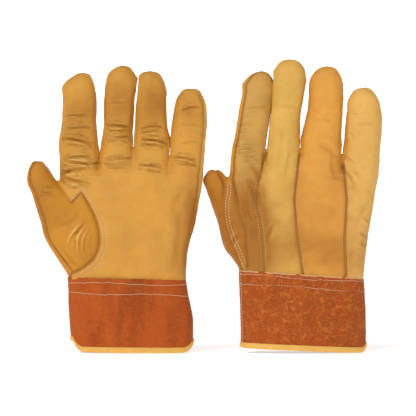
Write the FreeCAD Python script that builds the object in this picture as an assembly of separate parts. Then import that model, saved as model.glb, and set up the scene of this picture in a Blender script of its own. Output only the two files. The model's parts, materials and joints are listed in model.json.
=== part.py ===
"""A pair of leather protector gloves: yellow grain leather hands with rust split-leather safety cuffs.

Both gloves stand on their cuff hems with the fingers up, side by side along X. The left glove's palm faces -Y,
and the right glove's palm faces +Y, so both thumbs point to -X. Z = 0 is the plane that the hems stand on.
Every leather panel is a closed thin solid, cut from one hollow glove with a clear gap at each seam.
A finger hinges on the crease at the palm side of its root, and a thumb on the line from its crotch to the wrist.
X = 0 and Y = 0 are the middle of the pair.
"""

import FreeCAD
import Part

import math
import os

V = FreeCAD.Vector

# Grading, as a glove pattern is graded from one size to another
WIDTH_GRADE = 1.0        # multiplies what lies across the hand, the fingers and the cuff
LENGTH_GRADE = 1.0       # multiplies what lies along the hand and the fingers, above the cuff
CENTRE_DISTANCE = 156.5  # distance between the middles of the two hems

# Leather and seams
LEATHER = 1.3            # thickness of the yellow grain leather
CUFF_LEATHER = 1.5       # thickness of the split-leather cuff
SEAM_GAP = 0.2           # clear gap between two panels of one body
HINGE_GAP = 0.4          # clear gap at the root of a finger
WRAP = 3.6               # how far a panel wraps round a side edge before its seam
SIDE_SEAM_SHARE = 0.58   # depth of the finger side seams, as a share of the finger's half depth
SIDEWALL_END = 0.86      # a finger's sidewall ends at this share of the straight part
WELT_WIDTH = 1.4         # welt strip sewn into each back seam
WELT_PROUD = 0.7         # how far the welt stands proud of the leather
THREAD = 0.8             # thickness of the sewing thread
THREAD_LIFT = 0.1        # thread's clearance above the leather
ROW_OFFSET = 2.6         # a stitch row's distance from its seam
ROW_PITCH = 3.2          # distance between the two stitch rows of the thumb seam

# Cuff
CUFF_TOP = 68.5          # height of the cuff's upper edge
TUCK = 14.0              # length of the hand tucked inside the cuff
CUFF_CLEARANCE = 0.25    # clear gap between the tucked hand and the cuff
BINDING_HEIGHT = 5.0     # height of the hem binding
BINDING_WALL = 1.1       # thickness of the binding leather
BINDING_CLEARANCE = 0.15
STITCH_DROPS = (4.5, 12.5)   # stitch rows below the cuff's upper edge

# Cross-sections
SECTION_POINTS = 16
HAND_POWER = 2.6         # superellipse power of the hand and cuff sections
DIGIT_POWER = 2.2        # superellipse power of the finger sections
TIP_ANGLES = (25, 48, 66, 80)   # stations round a fingertip's dome, in degrees
DOME_SHARE = 1.05        # height of a fingertip's dome, as a share of its half width
ROOT_INSET = 20.0        # how far a digit's tube runs down inside the hand
KNUCKLE_DEPTH = 13.0     # half depth of a finger at its root
TIP_DEPTH = 11.0         # half depth of a finger near its tip
SPLIT_RISE = 2.0         # a finger's hinge line stands this far above its higher crotch
THUMB_FORWARD = 5.0      # the thumb sits this far to the palm side of the hand's middle

SPECK = 2.0              # a cut's leftover under this volume is dropped, in cubic millimetres
FAR = 60.0               # reach of a cutting tool beyond the gloves' depth
HIGH = 300.0             # height of a cutting tool above the fingertips
WIDE = 130.0             # reach of a cutting tool beyond a glove's width

DIGITS = ("index", "middle", "ring", "little")

# Each glove is drawn at grade 1: x across from the middle of the hem, and heights from the cuff's upper edge,
# except the cuff's own, which are from the hem.
# hand: height, left edge, right edge, half depth. cuff: the same, below the tucked part.
# digits: root centre, tip centre, half width at the root and near the tip.
# gaps: crotch, and the top of the gap between two fingers. thumb: centre, half width, half depth.
LEFT = {
    "name": "left",
    "palm": -1,
    "hand": (
        (-TUCK, -56.2, 48.6, 17.8),
        (3.5, -57.0, 47.5, 17.0),
        (31.5, -60.5, 52.0, 17.5),
        (59.5, -63.5, 57.0, 17.0),
        (84.5, -66.0, 62.0, 15.5),
        (99.5, -65.8, 64.6, 13.5),
        (106.0, -65.4, 65.0, 10.0),
    ),
    "cuff": ((0.0, -54.5, 54.5, 23.0), (14.0, -55.5, 55.0, 22.5), (38.0, -56.8, 54.5, 21.0)),
    "digits": {
        "index": ((-48.0, 107.0), (-46.5, 186.0), 17.2, 15.0),
        "middle": ((-14.8, 111.5), (-11.0, 192.0), 14.9, 14.4),
        "ring": ((17.0, 112.5), (16.3, 187.5), 15.1, 13.6),
        "little": ((49.2, 109.0), (52.5, 171.0), 15.6, 14.0),
    },
    "gaps": (((-30.3, 107.0), (-28.3, 197.5)), ((0.9, 116.0), (2.9, 197.5)), ((33.2, 108.8), (34.5, 197.5))),
    "thumb": (
        ((-48.0, 21.5), 17.0, 13.0),
        ((-61.5, 48.5), 18.6, 13.0),
        ((-75.0, 76.5), 14.4, 12.0),
        ((-81.5, 91.0), 12.2, 11.0),
    ),
    "thumb_tip": (-85.5, 106.0),
    "thumb_line": ((-59.8, 11.5), (-66.6, 85.1), (-68.4, 131.5)),
    "thumb_seam": ((-46.5, 77.0), (-34.0, 56.5), (-29.5, 39.5), (-34.0, 19.5), (-44.0, 8.5), (-54.5, 4.0)),
    "wrap_seam": ((-62.0, 131.5), (-62.4, 89.5), (-56.5, 57.5), (-51.0, 40.5), (-50.5, -28.5)),
    "back_seams": (
        ((-30.3, 107.0), (-31.5, 61.5), (-30.0, -18.5)),
        ((0.9, 116.0), (-3.5, 61.5), (-4.0, -18.5)),
        ((33.2, 108.8), (27.0, 61.5), (21.0, -18.5)),
    ),
}

RIGHT = {
    "name": "right",
    "palm": 1,
    "hand": (
        (-TUCK, -55.8, 53.2, 17.8),
        (3.5, -55.5, 54.0, 17.0),
        (31.5, -60.0, 57.0, 17.5),
        (59.5, -64.0, 61.5, 17.0),
        (84.5, -67.3, 66.5, 15.5),
        (102.5, -66.8, 68.6, 13.5),
        (109.5, -65.6, 68.9, 10.0),
    ),
    "cuff": ((0.0, -56.5, 56.5, 23.0), (14.0, -57.0, 56.5, 22.5), (38.0, -57.3, 55.6, 21.0)),
    "digits": {
        "index": ((-50.2, 109.5), (-40.4, 186.5), 16.4, 13.8),
        "middle": ((-18.9, 115.5), (-10.6, 198.0), 14.0, 14.0),
        "ring": ((15.6, 113.0), (21.6, 191.5), 16.6, 15.2),
        "little": ((52.4, 109.0), (54.6, 172.5), 16.4, 15.4),
    },
    "gaps": (((-33.5, 114.0), (-24.6, 203.5)), ((-2.6, 115.0), (6.0, 203.5)), ((34.6, 110.0), (38.0, 203.5))),
    "thumb": (
        ((-47.0, 23.5), 16.0, 13.0),
        ((-60.0, 48.5), 17.0, 13.0),
        ((-73.0, 74.5), 13.8, 12.0),
        ((-79.0, 87.5), 12.0, 11.0),
    ),
    "thumb_tip": (-82.5, 100.0),
    "thumb_line": ((-59.0, 11.5), (-68.0, 87.0), (-69.2, 131.5)),
    "thumb_seam": ((-46.5, 79.0), (-34.0, 57.5), (-29.5, 39.5), (-34.0, 19.5), (-44.0, 8.5), (-54.0, 4.0)),
    "wrap_seam": ((-62.0, 131.5), (-63.8, 91.5), (-58.2, 57.5), (-51.5, 40.5), (-50.5, -28.5)),
    "back_seams": (
        ((-33.5, 114.0), (-41.5, 81.5), (-36.5, -18.5)),
        ((-2.6, 115.0), (-5.5, 71.5), (1.5, -18.5)),
        ((34.6, 110.0), (38.5, 61.5), (37.5, -18.5)),
    ),
}


# ---------------------------------------------------------------- grading

def graded_height(z):
    """A height above the cuff's upper edge becomes a height above the hem. The tucked part isn't graded."""
    return CUFF_TOP + z * (LENGTH_GRADE if z > 0 else 1.0)


def graded_points(points):
    return tuple((x * WIDTH_GRADE, graded_height(z)) for x, z in points)


def graded(spec):
    """The glove's outlines at the chosen grade, in millimetres above the hem."""
    hand = [(graded_height(z), left * WIDTH_GRADE, right * WIDTH_GRADE, d) for z, left, right, d in spec["hand"]]
    cuff = [(z, left * WIDTH_GRADE, right * WIDTH_GRADE, depth) for z, left, right, depth in spec["cuff"]]
    digits = {}
    for digit, (root, tip, root_half, tip_half) in spec["digits"].items():
        digits[digit] = graded_points((root, tip)) + (root_half * WIDTH_GRADE, tip_half * WIDTH_GRADE)
    placed = dict(spec, hand=hand, cuff=cuff, digits=digits)
    placed["thumb"] = []
    for centre, half, deep in spec["thumb"]:
        placed["thumb"].append(graded_points((centre,)) + (half * WIDTH_GRADE, deep))
    placed["thumb_tip"] = graded_points((spec["thumb_tip"],))[0]
    for key in ("thumb_line", "thumb_seam", "wrap_seam"):
        placed[key] = graded_points(spec[key])
    for key in ("gaps", "back_seams"):
        placed[key] = tuple(graded_points(path) for path in spec[key])
    return placed


# ---------------------------------------------------------------- plane geometry, in XZ

def unit(a, b):
    length = math.hypot(b[0] - a[0], b[1] - a[1])
    return ((b[0] - a[0]) / length, (b[1] - a[1]) / length)


def moved(point, direction, run):
    return (point[0] + direction[0] * run, point[1] + direction[1] * run)


def crossing(a, along_a, b, along_b):
    """Where the line through a meets the line through b."""
    det = along_a[0] * -along_b[1] + along_b[0] * along_a[1]
    run = ((b[0] - a[0]) * -along_b[1] + along_b[0] * (b[1] - a[1])) / det
    return moved(a, along_a, run)


def offset_path(points, distance):
    """The open path moved sideways: a positive distance moves it to the right of its direction of travel."""
    shifted = []
    for k, point in enumerate(points):
        before = points[max(k - 1, 0)]
        after = points[min(k + 1, len(points) - 1)]
        along = unit(before, after)
        shifted.append((point[0] + along[1] * distance, point[1] - along[0] * distance))
    return shifted


def ribbon(points, width):
    """The closed outline of a band of that width along an open path."""
    return offset_path(points, width / 2) + offset_path(points, -width / 2)[::-1]


def edge_at(stations, z, side):
    """The x of a glove's left (1) or right (2) edge, or its half depth (3), at height z."""
    for low, high in zip(stations, stations[1:]):
        if low[0] <= z <= high[0]:
            share = (z - low[0]) / (high[0] - low[0])
            return low[side] + (high[side] - low[side]) * share
    return stations[-1][side] if z > stations[-1][0] else stations[0][side]


# ---------------------------------------------------------------- hollow volumes

def superellipse(half_width, half_depth, power):
    """Points round a closed section, as (across, depth) pairs."""
    points = []
    for k in range(SECTION_POINTS):
        angle = 2 * math.pi * k / SECTION_POINTS
        c, s = math.cos(angle), math.sin(angle)
        across = half_width * math.copysign(abs(c) ** (2 / power), c)
        depth = half_depth * math.copysign(abs(s) ** (2 / power), s)
        points.append((across, depth))
    return points


def closed_wire(points):
    curve = Part.BSplineCurve()
    curve.interpolate(Points=points, PeriodicFlag=True)
    return Part.Wire([curve.toShape()])


def loft(wires):
    """A solid with straight sides between its sections."""
    return Part.makeLoft(wires, True, True)


def level_section(station, grow):
    """A level section of the hand or cuff, grown outwards by grow."""
    z, left, right, depth = station
    middle, half = (left + right) / 2, (right - left) / 2
    ring = superellipse(half + grow, depth + grow, HAND_POWER)
    return closed_wire([V(middle + across, y, z) for across, y in ring])


def digit_section(centre, along, half_width, half_depth, y_middle):
    """A section square to a digit's length, which lies in the XZ plane."""
    square = (along[1], -along[0])
    ring = superellipse(half_width, half_depth, DIGIT_POWER)
    points = [V(centre[0] + square[0] * a, y_middle + y, centre[1] + square[1] * a) for a, y in ring]
    return closed_wire(points)


def dome_sections(base, along, reach, half, deep, y_middle, grow):
    """The sections that round off a digit's tip, from its last full section at base."""
    wires = []
    for angle in TIP_ANGLES:
        turn = math.radians(angle)
        shrink = math.cos(turn)
        centre = moved(base, along, (reach + grow) * math.sin(turn))
        wires.append(digit_section(centre, along, (half + grow) * shrink, (deep + grow) * shrink, y_middle))
    return wires


def finger_frame(spec, digit):
    """A finger's root, direction, straight length, dome height, root half width and tip half width."""
    root, tip, root_half, tip_half = spec["digits"][digit]
    dome = tip_half * DOME_SHARE
    straight = math.hypot(tip[0] - root[0], tip[1] - root[1]) - dome
    return root, unit(root, tip), straight, dome, root_half, tip_half


def finger_tube(spec, digit, grow):
    """The outer tube of one finger, grown outwards by grow, from inside the hand to its domed tip."""
    root, along, straight, dome, root_half, tip_half = finger_frame(spec, digit)
    wires = []
    for run in (-ROOT_INSET, 0.0, straight / 2, straight):
        share = max(0.0, run / straight)
        half = root_half + (tip_half - root_half) * share
        deep = KNUCKLE_DEPTH + (TIP_DEPTH - KNUCKLE_DEPTH) * share
        wires.append(digit_section(moved(root, along, run), along, half + grow, deep + grow, 0.0))
    wires += dome_sections(moved(root, along, straight), along, dome, tip_half, TIP_DEPTH, 0.0, grow)
    return loft(wires)


def thumb_tube(spec, grow):
    """The thumb's tube, which sits a little to the palm side of the hand."""
    stations, tip = spec["thumb"], spec["thumb_tip"]
    centres = [station[0] for station in stations] + [tip]
    shift = spec["palm"] * THUMB_FORWARD
    wires = []
    for k, (centre, half, deep) in enumerate(stations):
        along = unit(centres[max(k - 1, 0)], centres[k + 1])
        wires.append(digit_section(centre, along, half + grow, deep + grow, shift))
    centre, half, deep = stations[-1]
    reach = math.hypot(tip[0] - centre[0], tip[1] - centre[1])
    wires += dome_sections(centre, unit(centre, tip), reach, half, deep, shift, grow)
    return loft(wires)


def hand_volume(spec, grow):
    stations = list(spec["hand"])
    if grow < 0:
        bottom = stations[0]
        stations[0] = (bottom[0] - 5.0,) + bottom[1:]
    top = stations[-1]
    stations[-1] = (top[0] + grow,) + top[1:]
    return loft([level_section(station, grow) for station in stations])


def glove_volume(spec, grow):
    """The whole hand with its digits, grown outwards by grow."""
    tubes = [finger_tube(spec, digit, grow) for digit in DIGITS]
    return hand_volume(spec, grow).fuse(tubes + [thumb_tube(spec, grow)])


def cuff_stations(spec):
    """The cuff's outer sections: its upper part fits over the tucked hand."""
    fit = CUFF_CLEARANCE + CUFF_LEATHER
    upper = []
    for z in (CUFF_TOP - TUCK, CUFF_TOP):
        left, right, depth = (edge_at(spec["hand"], z, side) for side in (1, 2, 3))
        upper.append((z, left - fit, right + fit, depth + fit))
    return list(spec["cuff"]) + upper


def cuff_volume(spec, grow, z_low, z_high):
    """The cuff's outline between two heights, grown outwards by grow."""
    stations = cuff_stations(spec)
    whole = loft([level_section((s[0] - (1.0 if s is stations[0] else 0.0),) + s[1:], grow) for s in stations])
    slab = Part.makeBox(2 * WIDE, 2 * FAR, z_high - z_low, V(-WIDE, -FAR, z_low))
    return whole.common(slab)


# ---------------------------------------------------------------- cutting tools

def prism(points, y_low=-FAR, y_high=FAR):
    """A closed XZ outline, extruded along Y."""
    corners = [V(x, y_low, z) for x, z in points]
    return Part.Face(Part.makePolygon(corners + [corners[0]])).extrude(V(0, y_high - y_low, 0))


def palm_prism(spec, points, deep_from, deep_to):
    """An outline extruded between two depths, counted from the hand's middle towards the palm."""
    ends = sorted((spec["palm"] * deep_from, spec["palm"] * deep_to))
    return prism(points, ends[0], ends[1])


def whole_outline():
    return [(-WIDE, -HIGH), (WIDE, -HIGH), (WIDE, HIGH), (-WIDE, HIGH)]


def gap_lines(spec, k):
    """The gap lines at a finger's left and right, as (point, direction), or None at the glove's edge."""
    gaps = spec["gaps"]
    left = (gaps[k - 1][0], unit(*gaps[k - 1])) if k > 0 else None
    right = (gaps[k][0], unit(*gaps[k])) if k < len(gaps) else None
    return left, right


def split_run(spec, k):
    """How far above a finger's root its hinge line is, along the finger."""
    root, along = finger_frame(spec, DIGITS[k])[:2]
    crotches = [line[0] for line in gap_lines(spec, k) if line]
    runs = [(c[0] - root[0]) * along[0] + (c[1] - root[1]) * along[1] for c in crotches]
    return max(runs) + SPLIT_RISE


def split_points(spec, k, rise):
    """The left and right ends of a finger's hinge line, moved up the finger by rise."""
    root, along = finger_frame(spec, DIGITS[k])[:2]
    middle = moved(root, along, split_run(spec, k) + rise)
    square = (along[1], -along[0])
    ends = []
    for line, side in zip(gap_lines(spec, k), (-1, 1)):
        ends.append(crossing(middle, square, *line) if line else moved(middle, square, side * 22.0))
    return ends


def finger_outline(spec, k):
    """The outline that holds one finger above its hinge line."""
    left, right = split_points(spec, k, HINGE_GAP / 2)
    lines = gap_lines(spec, k)
    inset = SEAM_GAP
    top_left = moved(left, lines[0][1], HIGH / 3) if lines[0] else (left[0] - 10.0, HIGH)
    top_right = moved(right, lines[1][1], HIGH / 3) if lines[1] else (right[0] + 10.0, HIGH)
    return [(left[0] + inset, left[1]), (right[0] - inset, right[1]), (top_right[0] - inset, top_right[1]),
            (top_left[0] + inset, top_left[1])]


def hand_outline(spec):
    """The outline that holds the hand: below the fingers' hinge lines and right of the thumb's."""
    top = []
    for k in range(len(DIGITS)):
        top += split_points(spec, k, -HINGE_GAP / 2)
    low, crotch, high = spec["thumb_line"]
    return [(low[0] - 8.0, 0.0), (low[0] - 8.0, low[1]), low, crotch, (crotch[0] - 0.6, top[0][1])] + top[0:] + [
        (WIDE, top[-1][1]), (WIDE, 0.0)]


def thumb_outline(spec):
    """The outline that holds the moving thumb, left of its hinge line."""
    path = offset_path(spec["thumb_line"], -HINGE_GAP)
    return path + [(-WIDE, path[-1][1]), (-WIDE, path[0][1])]


# ---------------------------------------------------------------- panels

def node(*shapes):
    """The solids of one node, without a cut's specks."""
    solids = [solid for shape in shapes for solid in shape.Solids if solid.Volume > SPECK]
    return solids[0] if len(solids) == 1 else Part.makeCompound(solids)


def finger_panels(spec, shell, k):
    """One finger's palm-side panel, back panel and sidewalls."""
    digit = DIGITS[k]
    root, along, straight, dome, root_half, tip_half = finger_frame(spec, digit)
    finger = shell.common(prism(finger_outline(spec, k)))
    square = (along[1], -along[0])
    seam = SIDE_SEAM_SHARE * KNUCKLE_DEPTH
    inner, outer, end = 0.3 * tip_half, 3 * root_half, SIDEWALL_END * straight

    def side_outline(side, top, grow):
        """Beside the finger's axis, from below its root up to the run called top."""
        low, high = moved(root, along, -ROOT_INSET), moved(root, along, top + grow)
        return [moved(low, square, side * (inner - grow)), moved(low, square, side * outer),
                moved(high, square, side * outer), moved(high, square, side * (inner - grow))]

    palm_half = palm_prism(spec, whole_outline(), SEAM_GAP / 2, FAR)
    back_half = palm_prism(spec, whole_outline(), -SEAM_GAP / 2, -FAR)
    walls = [side for side, line in zip((-1, 1), gap_lines(spec, k)) if line]
    half_gap = SEAM_GAP / 2
    if digit == "index":
        palm_half = palm_half.fuse(palm_prism(spec, side_outline(-1, HIGH, 0.0), -seam + half_gap, FAR))
        back_half = back_half.cut(palm_prism(spec, side_outline(-1, HIGH, half_gap), -seam - half_gap, FAR))
    if digit == "little":
        back_half = back_half.fuse(palm_prism(spec, side_outline(1, HIGH, 0.0), -FAR, seam - half_gap))
        palm_half = palm_half.cut(palm_prism(spec, side_outline(1, HIGH, half_gap), -FAR, seam + half_gap))
    blocks, sides = [], []
    for side in walls:
        outside, inside = side_outline(side, end, half_gap), side_outline(side, end, -half_gap)
        blocks.append(palm_prism(spec, outside, -seam - half_gap, seam + half_gap))
        sides.append(finger.common(palm_prism(spec, inside, -seam + half_gap, seam - half_gap)))
    return {
        f"{digit}_palm_side": node(finger.common(palm_half).cut(blocks)),
        f"{digit}_back": node(finger.common(back_half).cut(blocks)),
        f"{digit}_sidewalls": node(*sides),
    }


def thumb_panels(spec, shell):
    """The moving thumb's palm-side and back panels."""
    thumb = shell.common(prism(thumb_outline(spec)))
    middle = THUMB_FORWARD
    return {
        "thumb_palm_side": node(thumb.common(palm_prism(spec, whole_outline(), middle + SEAM_GAP / 2, FAR))),
        "thumb_back": node(thumb.common(palm_prism(spec, whole_outline(), middle - SEAM_GAP / 2, -FAR))),
    }


def edge_seam(spec):
    """The path of the little finger side's seam on the palm, top to bottom."""
    path = [(station[2] - WRAP, station[0]) for station in reversed(spec["hand"])]
    top = path[0]
    return [(top[0], HIGH)] + path[:-1] + [(path[-1][0], 0.0)]


def right_of(path):
    """The outline right of a path that runs from top to bottom."""
    return list(path) + [(WIDE, path[-1][1]), (WIDE, path[0][1])]


def back_leather(spec, grow):
    """The space of the four back strips, grown by grow over their outer seams."""
    back = palm_prism(spec, right_of(offset_path(spec["wrap_seam"], grow)), -FAR, grow)
    edge = palm_prism(spec, right_of(offset_path(edge_seam(spec), grow)), -FAR, FAR)
    return back.fuse(edge)


def thumb_patch(spec, grow):
    """The space of the thumb leather on the palm, which runs under the thumb seam."""
    crotch = spec["thumb_line"][1]
    seam = offset_path(spec["thumb_seam"], -grow)
    low = (crotch[0] - 20.0, seam[-1][1] - grow)
    top = (crotch[0] - 20.0, crotch[1] + grow)
    points = [top, (crotch[0] + grow, crotch[1] + grow)] + seam + [(seam[-1][0], low[1]), low]
    return palm_prism(spec, points, -2.0, FAR)


def hand_panels(spec, shell):
    """The palm, the thumb's root, and the four back strips."""
    hand = shell.common(prism(hand_outline(spec)))
    half_gap = SEAM_GAP / 2
    strips = back_leather(spec, -half_gap)
    patch = thumb_patch(spec, -half_gap)
    panels = {
        "palm": node(hand.cut([back_leather(spec, half_gap), thumb_patch(spec, half_gap)])),
        "thumb_root": node(hand.common(patch)),
    }
    leather = hand.common(strips).cut(thumb_patch(spec, half_gap))
    bounds = [[(-WIDE, HIGH), (-WIDE, 0.0)]]
    bounds += [[(s[0][0], HIGH)] + list(s) for s in spec["back_seams"]]
    bounds += [[(WIDE, HIGH), (WIDE, 0.0)]]
    room = WELT_WIDTH / 2 + half_gap
    for k, digit in enumerate(DIGITS):
        left = offset_path(bounds[k], -room)
        right = offset_path(bounds[k + 1], room)
        panels[f"{digit}_back_strip"] = node(leather.common(prism(left + right[::-1])))
    return panels


def welts(spec, inner):
    """The leather welts in the three back seams, from the crotches to the tucked end."""
    proud = glove_volume(spec, WELT_PROUD).cut(inner).common(prism(hand_outline(spec)))
    bands = [palm_prism(spec, ribbon(seam, WELT_WIDTH), -SEAM_GAP, -FAR) for seam in spec["back_seams"]]
    above = Part.makeBox(2 * WIDE, 2 * FAR, HIGH, V(-WIDE, -FAR, CUFF_TOP + SEAM_GAP))
    return {"back_seam_welts": node(*[proud.common(band).common(above) for band in bands])}


def seam_threads(spec):
    """The stitch rows beside the back seams and the double row beside the thumb seam."""
    low, high = glove_volume(spec, THREAD_LIFT), glove_volume(spec, THREAD_LIFT + THREAD)
    skin = high.cut(low).common(prism(hand_outline(spec)))
    above = Part.makeBox(2 * WIDE, 2 * FAR, HIGH, V(-WIDE, -FAR, CUFF_TOP + 1.0))
    back_rows = [offset_path(seam, -ROW_OFFSET) for seam in spec["back_seams"]]
    back = [palm_prism(spec, ribbon(row, THREAD), -SEAM_GAP, -FAR) for row in back_rows]
    thumb_rows = [offset_path(spec["thumb_seam"], -pitch) for pitch in (ROW_OFFSET, ROW_OFFSET + ROW_PITCH)]
    thumb = [palm_prism(spec, ribbon(row, THREAD), SEAM_GAP, FAR) for row in thumb_rows]
    rows = {"back_seam_threads": back, "thumb_seam_threads": thumb}
    return {name: node(*[skin.common(row).common(above) for row in group]) for name, group in rows.items()}


def cuff_panels(spec):
    """The cuff's palm panel, back panel, hem binding and stitch rows."""
    foot = BINDING_WALL + BINDING_CLEARANCE
    outer = cuff_volume(spec, 0.0, foot, CUFF_TOP)
    shell = outer.cut(cuff_volume(spec, -CUFF_LEATHER, 0.0, CUFF_TOP + 1.0))
    seam = [(station[1] + WRAP, station[0]) for station in reversed(cuff_stations(spec))]
    seam = [(seam[0][0], HIGH)] + seam + [(seam[-1][0], -1.0)]
    half_gap = SEAM_GAP / 2
    back = palm_prism(spec, right_of(offset_path(seam, -half_gap)), -half_gap, -FAR)
    keep_out = palm_prism(spec, right_of(offset_path(seam, half_gap)), half_gap, -FAR)
    grow = BINDING_CLEARANCE + BINDING_WALL
    ring = cuff_volume(spec, grow, 0.0, BINDING_HEIGHT).cut(
        cuff_volume(spec, -CUFF_LEATHER - grow, -1.0, BINDING_HEIGHT + 1.0))
    channel = cuff_volume(spec, BINDING_CLEARANCE, BINDING_WALL, BINDING_HEIGHT + 1.0).cut(
        cuff_volume(spec, -CUFF_LEATHER - BINDING_CLEARANCE, 0.0, BINDING_HEIGHT + 2.0))
    rows = []
    for drop in STITCH_DROPS:
        low, high = CUFF_TOP - drop - THREAD / 2, CUFF_TOP - drop + THREAD / 2
        outside = cuff_volume(spec, THREAD_LIFT + THREAD, low, high)
        rows.append(outside.cut(cuff_volume(spec, THREAD_LIFT, low - 1.0, high + 1.0)))
    return {
        "cuff_palm_side": node(shell.cut(keep_out)),
        "cuff_back": node(shell.common(back)),
        "cuff_binding": node(ring.cut(channel)),
        "cuff_threads": node(*rows),
    }


def glove_nodes(spec):
    """Every node of one glove, in the glove's own frame."""
    inner = glove_volume(spec, -LEATHER)
    shell = glove_volume(spec, 0.0).cut(inner)
    nodes = hand_panels(spec, shell)
    for k in range(len(DIGITS)):
        nodes.update(finger_panels(spec, shell, k))
    nodes.update(thumb_panels(spec, shell))
    nodes.update(welts(spec, inner))
    nodes.update(seam_threads(spec))
    nodes.update(cuff_panels(spec))
    return nodes


def pair_nodes():
    """Every node of the pair, and the shift of each glove's own frame, with the pair's box centred on X and Y."""
    pair, shifts = {}, {"left": V(0, 0, 0), "right": V(CENTRE_DISTANCE, 0, 0)}
    for spec in (graded(LEFT), graded(RIGHT)):
        for name, shape in glove_nodes(spec).items():
            shape.translate(shifts[spec["name"]])
            pair[f"{spec['name']}_{name}"] = shape
    box = Part.makeCompound(list(pair.values())).optimalBoundingBox(False)
    centring = V(-box.Center.x, -box.Center.y, 0)
    for shape in pair.values():
        shape.translate(centring)
    return pair, {name: shift + centring for name, shift in shifts.items()}


def main():
    os.makedirs("parts", exist_ok=True)
    pair, shifts = pair_nodes()
    for name, shape in pair.items():
        shape.exportStep(f"parts/{name}.step")
        print(f"{name}: {len(shape.Solids)} solids, {shape.Volume / 1000:.2f} cm3, valid {shape.isValid()}")
    print("glove frames at", shifts)


if __name__ == "__main__":
    main()
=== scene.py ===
"""A left-hand and a right-hand leather protector glove, standing on their cuff hems with the fingers up.

Each hand is sculpted as one smooth skin, then cut along its seams into the panels that a glove maker cuts.
Lengths inside the sculpting code are in millimetres, in each glove's own frame:
x across from the middle of the hem, t towards the palm, z up.
"""

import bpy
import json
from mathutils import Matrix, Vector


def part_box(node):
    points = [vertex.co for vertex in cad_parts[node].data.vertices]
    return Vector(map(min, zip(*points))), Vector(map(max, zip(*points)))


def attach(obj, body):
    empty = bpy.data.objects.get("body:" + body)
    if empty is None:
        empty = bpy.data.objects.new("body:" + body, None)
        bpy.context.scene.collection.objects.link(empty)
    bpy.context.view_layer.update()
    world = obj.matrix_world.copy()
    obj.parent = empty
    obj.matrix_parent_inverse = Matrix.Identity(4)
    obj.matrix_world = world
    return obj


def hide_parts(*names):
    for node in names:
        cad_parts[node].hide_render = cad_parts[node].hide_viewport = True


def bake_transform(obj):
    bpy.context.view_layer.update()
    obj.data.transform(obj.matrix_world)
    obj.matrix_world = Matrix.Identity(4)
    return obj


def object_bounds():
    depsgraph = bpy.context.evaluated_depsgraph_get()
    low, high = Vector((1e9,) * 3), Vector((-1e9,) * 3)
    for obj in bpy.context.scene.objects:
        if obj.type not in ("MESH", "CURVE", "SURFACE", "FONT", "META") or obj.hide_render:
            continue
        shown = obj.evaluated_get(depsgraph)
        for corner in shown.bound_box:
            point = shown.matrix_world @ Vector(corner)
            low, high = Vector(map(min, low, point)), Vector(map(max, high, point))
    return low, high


bl_info = {
    "name": "Leather protector gloves",
    "version": (1, 0, 0),
    "blender": (4, 5, 0),
    "location": "3D View > Sidebar > Gloves",
    "description": "Builds a pair of leather protector gloves with safety cuffs",
    "category": "Add Mesh",
}

import json
import math

import bmesh
import bpy
import numpy as np
from bpy.props import FloatProperty, FloatVectorProperty, PointerProperty
from mathutils import Vector, noise
from mathutils.bvhtree import BVHTree
from mathutils.kdtree import KDTree

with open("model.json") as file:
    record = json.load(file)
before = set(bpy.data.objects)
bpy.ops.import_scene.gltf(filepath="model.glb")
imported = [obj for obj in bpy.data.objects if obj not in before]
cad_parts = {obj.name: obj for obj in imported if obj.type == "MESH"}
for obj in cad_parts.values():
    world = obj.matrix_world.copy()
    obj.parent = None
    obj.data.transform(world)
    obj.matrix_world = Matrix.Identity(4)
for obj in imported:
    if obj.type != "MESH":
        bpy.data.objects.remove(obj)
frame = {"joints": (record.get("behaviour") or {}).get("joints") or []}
CAD_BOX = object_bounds()

MM = 0.001
FINGERS = ("index", "middle", "ring", "little")
GRID_STEP = 1.2          # spacing of the sculpting grid
SKIN_FOOT = 57.0         # the hand's leather ends at this height, inside the cuff

# ------------------------------------------------------------------ shapes, in millimetres

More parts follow.
